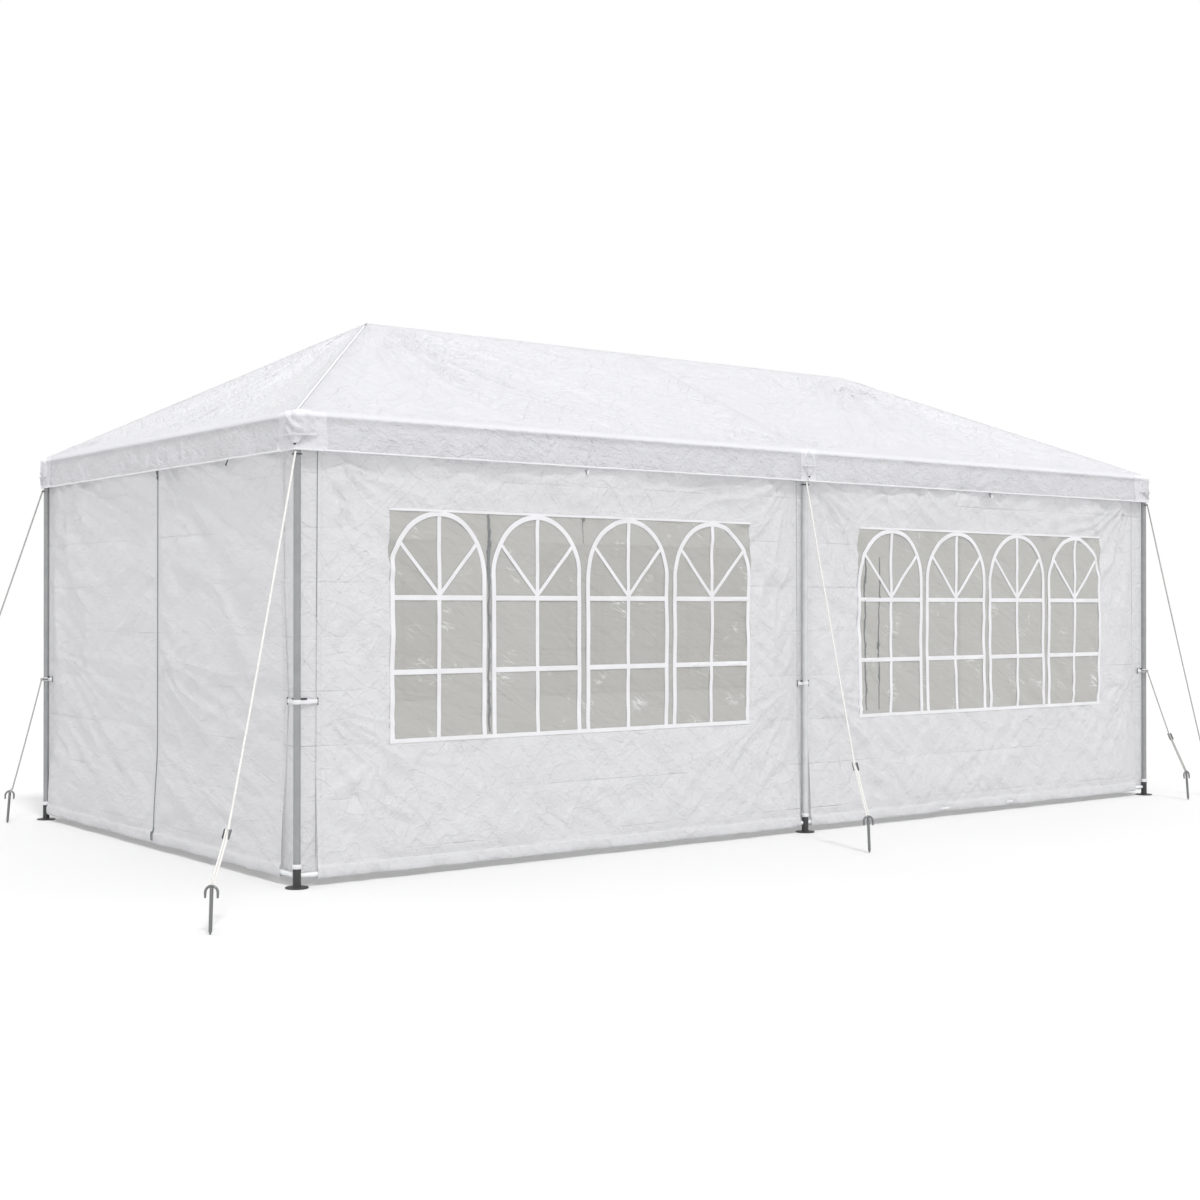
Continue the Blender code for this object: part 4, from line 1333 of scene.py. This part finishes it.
def make_corner_strip(number, before, wall):
    """Cloth strip behind a corner leg, from the panel before it to the panel after it."""
    length = LENGTH if before in LONG_WALLS else WIDTH
    start = length - (CORNER_INSET if before in LONG_WALLS else END_FAR_INSET) - STRIP_TUCK
    end = (CORNER_INSET if wall in LONG_WALLS else END_NEAR_INSET) + STRIP_TUCK
    sheets, flats = [], []
    for side, values, bend in ((before, np.linspace(start, length + STRIP_CORNER_OUT, 13), -1),
                               (wall, np.linspace(-STRIP_CORNER_OUT, end, 13), 0)):
        along, height = np.meshgrid(values, STRIP_HEIGHTS)
        place = stacked(along, height, float(number))
        bent = np.abs(along - values[bend])
        free = np.abs(along - values[-1 - bend])
        wave = 0.0016 * soft_noise(place * (2, 1, 1), 0.16, 210 + number) - 0.0018
        wave = wave * rise(bent, 0.02) * rise(free, 0.02)
        hug = (STRIP_CORNER_OUT - STRIP_OUT) * (1 - rise(bent, 0.022))
        sheets.append(wall_points(side, along, height, STRIP_OUT + hug + wave))
        flats.append(place)
    points, places = (np.concatenate((first, second[:, 1:]), axis=1) for first, second in (sheets, flats))
    return points, places, length + STRIP_OUT - start + end + STRIP_OUT


def make_strips():
    """Cloth strips behind the legs, between the wall panels."""
    walls = list(WALLS)
    strips = [(f"corner_strip_{wall}", *make_corner_strip(number, walls[number - 1], wall))
              for number, wall in enumerate(walls)]
    reach = MIDDLE_INSET + STRIP_TUCK
    along, height = np.meshgrid(np.linspace(BAY - reach, BAY + reach, 9), STRIP_HEIGHTS)
    place = stacked(along, height, 0.0)
    wave = (0.0014 * soft_noise(place, 0.14, 230) - 0.0018) * rise(reach - np.abs(along - BAY), 0.02)
    for wall in LONG_WALLS:
        points = wall_points(wall, along, height, STRIP_OUT + wave)
        strips.append((f"middle_strip_{wall}", points, place, 2 * reach))
    for name, points, places, width in strips:
        strip = Shape().sheet(points).piece(name, WALL_CLOTH, "wall_cloth", flat=places)


# Legs and straps

LEG_JOINTS = (0.030, 0.5, 1.0, 1.5, EAVE_AXIS)
TUBE_FACETS = 8
FACET_HALF = 0.36           # half of a flat, as a share of its turn
FOOT_STRAP_HEIGHT = 0.092
STRAP_RADIUS = TUBE_RADIUS + 0.0015
STRAP_HALF_THICKNESS = 0.0012
STRAP_TUCK = 0.004          # how far the tails pass in front of the wall's cloth
MIDDLE_TAIL = 0.041
# How far a corner strap's tails reach along the long and the short wall, where the gap is wide or narrow
WIDE_TAILS = (CORNER_INSET + 0.008, END_FAR_INSET - 0.042)
NARROW_TAILS = (0.045, 0.05)
FOOT_PLATE = (
    (FOOT_RADIUS - 0.001, 0.0), (FOOT_RADIUS, 0.001), (FOOT_RADIUS, 0.0035), (FOOT_RADIUS - 0.0015, 0.005),
    (0.024, 0.0056), (0.0195, 0.008), (0.0185, 0.0135), (0.014, 0.014),
)
SLEEVE = (
    (SLEEVE_RADIUS - 0.002, 0.010), (SLEEVE_RADIUS, 0.012), (SLEEVE_RADIUS, SLEEVE_TOP - 0.002),
    (SLEEVE_RADIUS - 0.001, SLEEVE_TOP), (TUBE_RADIUS - 0.003, SLEEVE_TOP),
)


def facet_section(radius):
    """Eight flats with narrow rounded edges between them."""
    turns = [math.tau * (number + 0.5 + shift) / TUBE_FACETS
             for number in range(TUBE_FACETS) for shift in (-FACET_HALF, FACET_HALF)]
    return radius * level_ring(turns)[:, :2]


def turned(shape, profile, place, sides):
    """Solid turned about an upright axis, from (radius, height) listed upwards."""
    ring = level_ring(np.arange(sides) * math.tau / sides)
    shape.solid([place + ring * radius + UP * height for radius, height in profile])


def joint_directions(top, column):
    """Directions of the tubes that run from a leg's top."""
    ridge = np.array((top[0] * PEAK_X / HALF_LENGTH, 0, RIDGE_AXIS))
    if column == "middle":
        ends = (top + (-HALF_LENGTH, 0, 0), top + (HALF_LENGTH, 0, 0), ridge)
    else:
        ends = (top * (0, 1, 1), top * (1, -1, 1), ridge)
    return [unit(end - top) for end in ends]


def make_legs():
    for row, column in LEGS:
        place = leg_place(row, column)
        name = f"{row}_{column}"
        tube = Shape()
        axis = [place + UP * height for height in LEG_JOINTS]
        tube.tube(axis, facet_section(TUBE_RADIUS), side=(1, 0, 0))
        top = place + UP * EAVE_AXIS
        for run in joint_directions(top, column):
            tube.tube([top, top + run * 0.04, top + run * 0.08], ring_section(TUBE_RADIUS + 0.0006, 18))
        # The middle legs take the lighter copy of the steel, painted light.
        material = STEEL_WITH_PAINTED_LIGHT if column == "middle" else STEEL
        tube.piece(f"leg_tube_{name}", material, "steel_tube", [f"leg_{name}"], sharp=20)
        plate = Shape()
        turned(plate, FOOT_PLATE, place, 40)
        turned(plate, SLEEVE, place, 28)
        plate.piece(f"foot_plate_{name}", BLACK, "steel_tube", sharp=40)
        make_straps(name, column, place, leg_outward(row, column))


def strap_section(width):
    """Flat section of a strap with thinned edges, as flat points."""
    edge, inner, thick = width / 2, width / 2 - 0.002, STRAP_HALF_THICKNESS
    upper = [(-edge, 0), (-inner, thick), (inner, thick)]
    return np.array(upper + [(-side, -lift) for side, lift in upper])


def strap_ends(column, place):
    """Where the tails of a strap reach the walls on the two sides of a leg, against the clock."""
    side_x, side_y = np.sign(place[:2])
    out = WALL_OUT + STRAP_TUCK
    if column == "middle":
        return [place + (side * side_y * MIDDLE_TAIL, side_y * out, 0) for side in (1, -1)]
    wide = side_x == side_y
    along, inwards = WIDE_TAILS if wide else NARROW_TAILS
    on_long = place + (-side_x * along, side_y * out, 0)
    on_short = place + (side_x * out, -side_y * inwards, 0)
    return (on_short, on_long) if wide else (on_long, on_short)


def make_straps(name, column, place, outward):
    """White straps round a leg. The upper one's tails end on the walls at black rods, painted shade in the
    slots they pass through, with short black stubs above the strap by the leg.
    """
    facing = math.atan2(outward[1], outward[0])
    spread = math.radians(100 if column == "middle" else 145)
    arc = level_ring(np.linspace(facing - spread, facing + spread, 33))
    first, last = strap_ends(column, place)
    upper = np.vstack((first, place + arc * STRAP_RADIUS, last)) + UP * STRAP_HEIGHT
    lower = place + arc * (STRAP_RADIUS + 0.0018) + UP * FOOT_STRAP_HEIGHT
    straps = Shape()
    straps.tube(upper, strap_section(0.019), side=(0, 0, 1))
    straps.tube(lower, strap_section(0.020), side=(0, 0, 1))
    straps.piece(f"straps_{name}", TAPE, "wall_cloth")
    # Black rods at the tails' ends are painted shade in the wall slots; the stubs are short black pieces
    # above the strap.
    dark = Shape()
    for end, inward in ((upper[0], upper[1]), (upper[-1], upper[-2])):
        dark.tube([end + UP * lift for lift in (-0.016, 0.0, 0.016)], ring_section(0.0022, 8))
        stub = [inward * (1 - share) + end * share + UP * 0.012 for share in (0.02, 0.2, 0.36)]
        dark.tube(stub, ring_section(0.0045, 8))
    dark.piece(f"strap_slot_shade_and_stubs_{name}", BLACK, "wall_cloth")


# Guys

ROPE_RADIUS = 0.0048
ROPE_STEP = 0.0042
ROPE_LAY = 0.021            # length of one turn of its strands
ROPE_SAG = 0.012
ROPE_KINK = 0.047           # drop at the tensioner, as a share of the rope's length
KNOT_RADIUS = 0.0075
HITCH_RADIUS = 0.0030
UPPER_TIE = 1.845
LOWER_TIE = STRAP_HEIGHT
STAKE_RADIUS = 0.0070
STAKE_HEIGHT = 0.151
STAKE_LEAN = 0.013
HOOK_RADIUS = 0.024
HOOK_BAR_RADIUS = 0.0050
HOOK_ENDS = 0.020
TENSIONER_LENGTH = 0.044
# One side of the tensioner's section, from its middle outwards and back: aside and lift
TENSIONER_SIDE = (
    (0.0120, -0.0045), (0.0150, -0.001), (0.0150, 0.006), (0.0128, 0.006), (0.0128, 0.0), (0.0105, -0.0022),
)
# The tensioner's sections along it: share of its length, and of its width
TENSIONER_ENDS = ((0.0, 0.86), (0.06, 1.0), (0.5, 1.0), (0.94, 1.0), (1.0, 0.86))
# Name, leg, stake from the leg, tie height, the tensioner's share of the rope, rope, turn of the hook
GUYS = (
    ("front_left", ("front", "left"), (-0.74, -0.745), UPPER_TIE, 0.825, ROPE, 0.0),
    ("front_middle", ("front", "middle"), (-0.295, -0.746), UPPER_TIE, 0.79, ROPE, 0.0),
    ("back_right", ("back", "right"), (0.74, 0.745), UPPER_TIE, 0.825, ROPE, 0.0),
    ("back_middle", ("back", "middle"), (0.295, 0.746), UPPER_TIE, 0.79, ROPE, 0.0),
    ("back_left_upper", ("back", "left"), (-0.50, 0.50), UPPER_TIE, 0.85, ROPE_WITH_PAINTED_SHADE, 0.0),
    ("back_left_lower", ("back", "left"), (-0.226, -0.022), LOWER_TIE, None, ROPE_WITH_PAINTED_SHADE, -0.82),
    ("front_right_upper", ("front", "right"), (0.30, -0.30), UPPER_TIE, 0.85, ROPE_WITH_PAINTED_SHADE, 0.0),
    ("front_right_lower", ("front", "right"), (-0.03, -0.341), LOWER_TIE, 0.56, ROPE_WITH_PAINTED_SHADE, 0.0),
)
PLAIN_KINK = 0.92           # where a rope without a tensioner bends


def rope_surface(shape, path, radius=ROPE_RADIUS):
    """Rope of three twisted strands."""
    path = smooth_path(path, ROPE_STEP)
    spin = travelled(path) * math.tau / ROPE_LAY
    shape.tube(path, ring_section(radius * 0.9, 9, 3, 0.16), spin=spin)


def sagged(start, end, share, slot):
    """Point of a taut rope that sags a little, and most at its tensioner, which is at the slot's share."""
    kink = ROPE_KINK * min(share / slot, (1 - share) / (1 - slot))
    drop = np.linalg.norm(end - start) * (ROPE_SAG * 4 * share * (1 - share) + kink)
    return start * (1 - share) + end * share - UP * drop


def knot_path(centre, outward):
    """Overhand knot: three small turns of rope round each other."""
    turns = np.linspace(0, math.tau, 40)[:, None]
    across = np.cross(outward, UP) * (np.sin(turns) + 2 * np.sin(2 * turns)) * 0.30
    upward = UP * (np.cos(turns) - 2 * np.cos(2 * turns)) * 0.30
    return centre + KNOT_RADIUS * (across + upward - outward * np.sin(3 * turns) * 0.34)


def make_guy(name, leg, offset, tie_height, tensioner_share, material, hook_turn):
    """Rope from a leg to its stake, doubled below its tensioner, and the hitch that holds it to the leg."""
    slot = tensioner_share or PLAIN_KINK
    foot = leg_place(*leg)
    outward = unit(np.array((*offset, 0.0)))
    across = np.cross(outward, -UP)
    tip = foot + (*offset, 0.0)
    head = tip - outward * STAKE_LEAN + UP * STAKE_HEIGHT
    up = unit(head - tip)
    tie = foot + UP * tie_height
    reach = TUBE_RADIUS + ROPE_RADIUS
    upper_end = (0.0015, 0.010) if tie_height == UPPER_TIE else (KNOT_RADIUS, 0.0)
    knot = tie + outward * (reach + upper_end[0]) + UP * upper_end[1]
    held = head + up * (HOOK_RADIUS - ROPE_RADIUS)
    aside = across * ROPE_RADIUS
    single = [sagged(knot, held, share, slot) for share in np.linspace(0, slot, 12)]
    double = [sagged(knot, held, share, slot) for share in np.linspace(slot, 1, 6)[1:-1]]
    there = [point + aside for point in double] + [held + aside]
    back = [held - aside] + [point - aside for point in double[::-1]] + [single[-1] - aside * 1.6]
    rope = Shape()
    rope_surface(rope, single + there + back)
    if tie_height == LOWER_TIE:
        rope_surface(rope, knot_path(knot, outward))
    facing = math.atan2(outward[1], outward[0])
    hitch = Shape()
    rope_surface(hitch, tie + reach * level_ring(facing + math.tau / 24 * np.arange(-6, 7)), HITCH_RADIUS)
    hitch.piece(f"rope_bands_{name}", BLACK, "rope")
    rope.piece(f"rope_{name}", material, "rope", [f"guy_{name}"])
    metal = Shape()
    stake_shape(metal, tip, head, up, across * math.cos(hook_turn) + outward * math.sin(hook_turn))
    if tensioner_share:
        tensioner_shape(metal, single[-1], unit(sagged(knot, held, slot + 0.02, slot) - single[-1]), across)
    metal.piece(f"stake_{name}", PLATED, "rope", sharp=40)


def stake_shape(shape, tip, head, up, arms):
    """Round stake with a double hook over its head."""
    stake = [tip + up * 0.001, tip + up * 0.012, tip + up * 0.05, head, head + up * (HOOK_RADIUS - 0.004)]
    shape.tube(stake, ring_section(STAKE_RADIUS, 20), scale=(0.35, 1, 1, 1, 1))
    turn = np.linspace(0, math.pi, 19)[:, None]
    bend = head + HOOK_RADIUS * (arms * np.cos(turn) + up * np.sin(turn))
    first, last = (head + arms * HOOK_RADIUS * side - up * HOOK_ENDS for side in (1, -1))
    scale = [0.8] + [1.0] * len(bend) + [0.8]
    shape.tube(np.vstack((first, bend, last)), ring_section(HOOK_BAR_RADIUS, 14), scale=scale)


def tensioner_shape(shape, start, run, across):
    """Bent metal plate with raised sides, that grips the rope."""
    face = np.cross(run, across)
    mirrored = [(-side, lift) for side, lift in TENSIONER_SIDE[::-1]]
    side, lift = np.array(mirrored + list(TENSIONER_SIDE)).T[..., None]
    shape.solid([start + run * TENSIONER_LENGTH * share + across * side * narrow + face * lift
                 for share, narrow in TENSIONER_ENDS])


# Floor, light and view

FLOOR_HALF = 60.0
FLOOR_LEVEL = -0.0005
SUN_STRENGTH = 1.45
SUN_TOWARDS = (-0.14, -0.52, 0.84)
SUN_SPREAD = math.radians(9)


def make_stage():
    mesh = bpy.data.meshes.new("studio_floor")
    corners = [(-1, -1), (1, -1), (1, 1), (-1, 1)]
    mesh.from_pydata([(x * FLOOR_HALF, y * FLOOR_HALF, 0) for x, y in corners], [], [(0, 1, 2, 3)])
    mesh.materials.append(FLOOR)
    floor = bpy.data.objects.new("studio_floor", mesh)
    floor.location.z = FLOOR_LEVEL
    bpy.context.scene.collection.objects.link(floor)


def make_light():
    world = bpy.data.worlds.new("studio")
    world.use_nodes = True
    background = world.node_tree.nodes["Background"]
    background.inputs["Color"].default_value = (1.0, 1.0, 1.0, 1.0)
    background.inputs["Strength"].default_value = 1.0
    bpy.context.scene.world = world
    sun = bpy.data.lights.new("sun", "SUN")
    sun.energy = SUN_STRENGTH
    sun.angle = SUN_SPREAD
    holder = bpy.data.objects.new("sun", sun)
    holder.rotation_euler = Vector(SUN_TOWARDS).to_track_quat("Z", "Y").to_euler()
    bpy.context.scene.collection.objects.link(holder)
    bpy.context.scene.view_settings.view_transform = "Standard"


def dress_frame():
    """Better materials for the tubes that stay as they are packed."""
    for name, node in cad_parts.items():
        if name.startswith(("rafter_", "eave_rail_", "ridge_pole", "peak_connector_")):
            node.material_slots[0].material = STEEL
        if name.startswith("ground_bar_"):
            node.material_slots[0].material = WHITE_TUBE


make_camera()
make_stage()
make_light()
dress_frame()
make_canopy()
make_window_walls()
make_end_walls()
make_strips()
make_legs()
for guy in GUYS:
    make_guy(*guy)
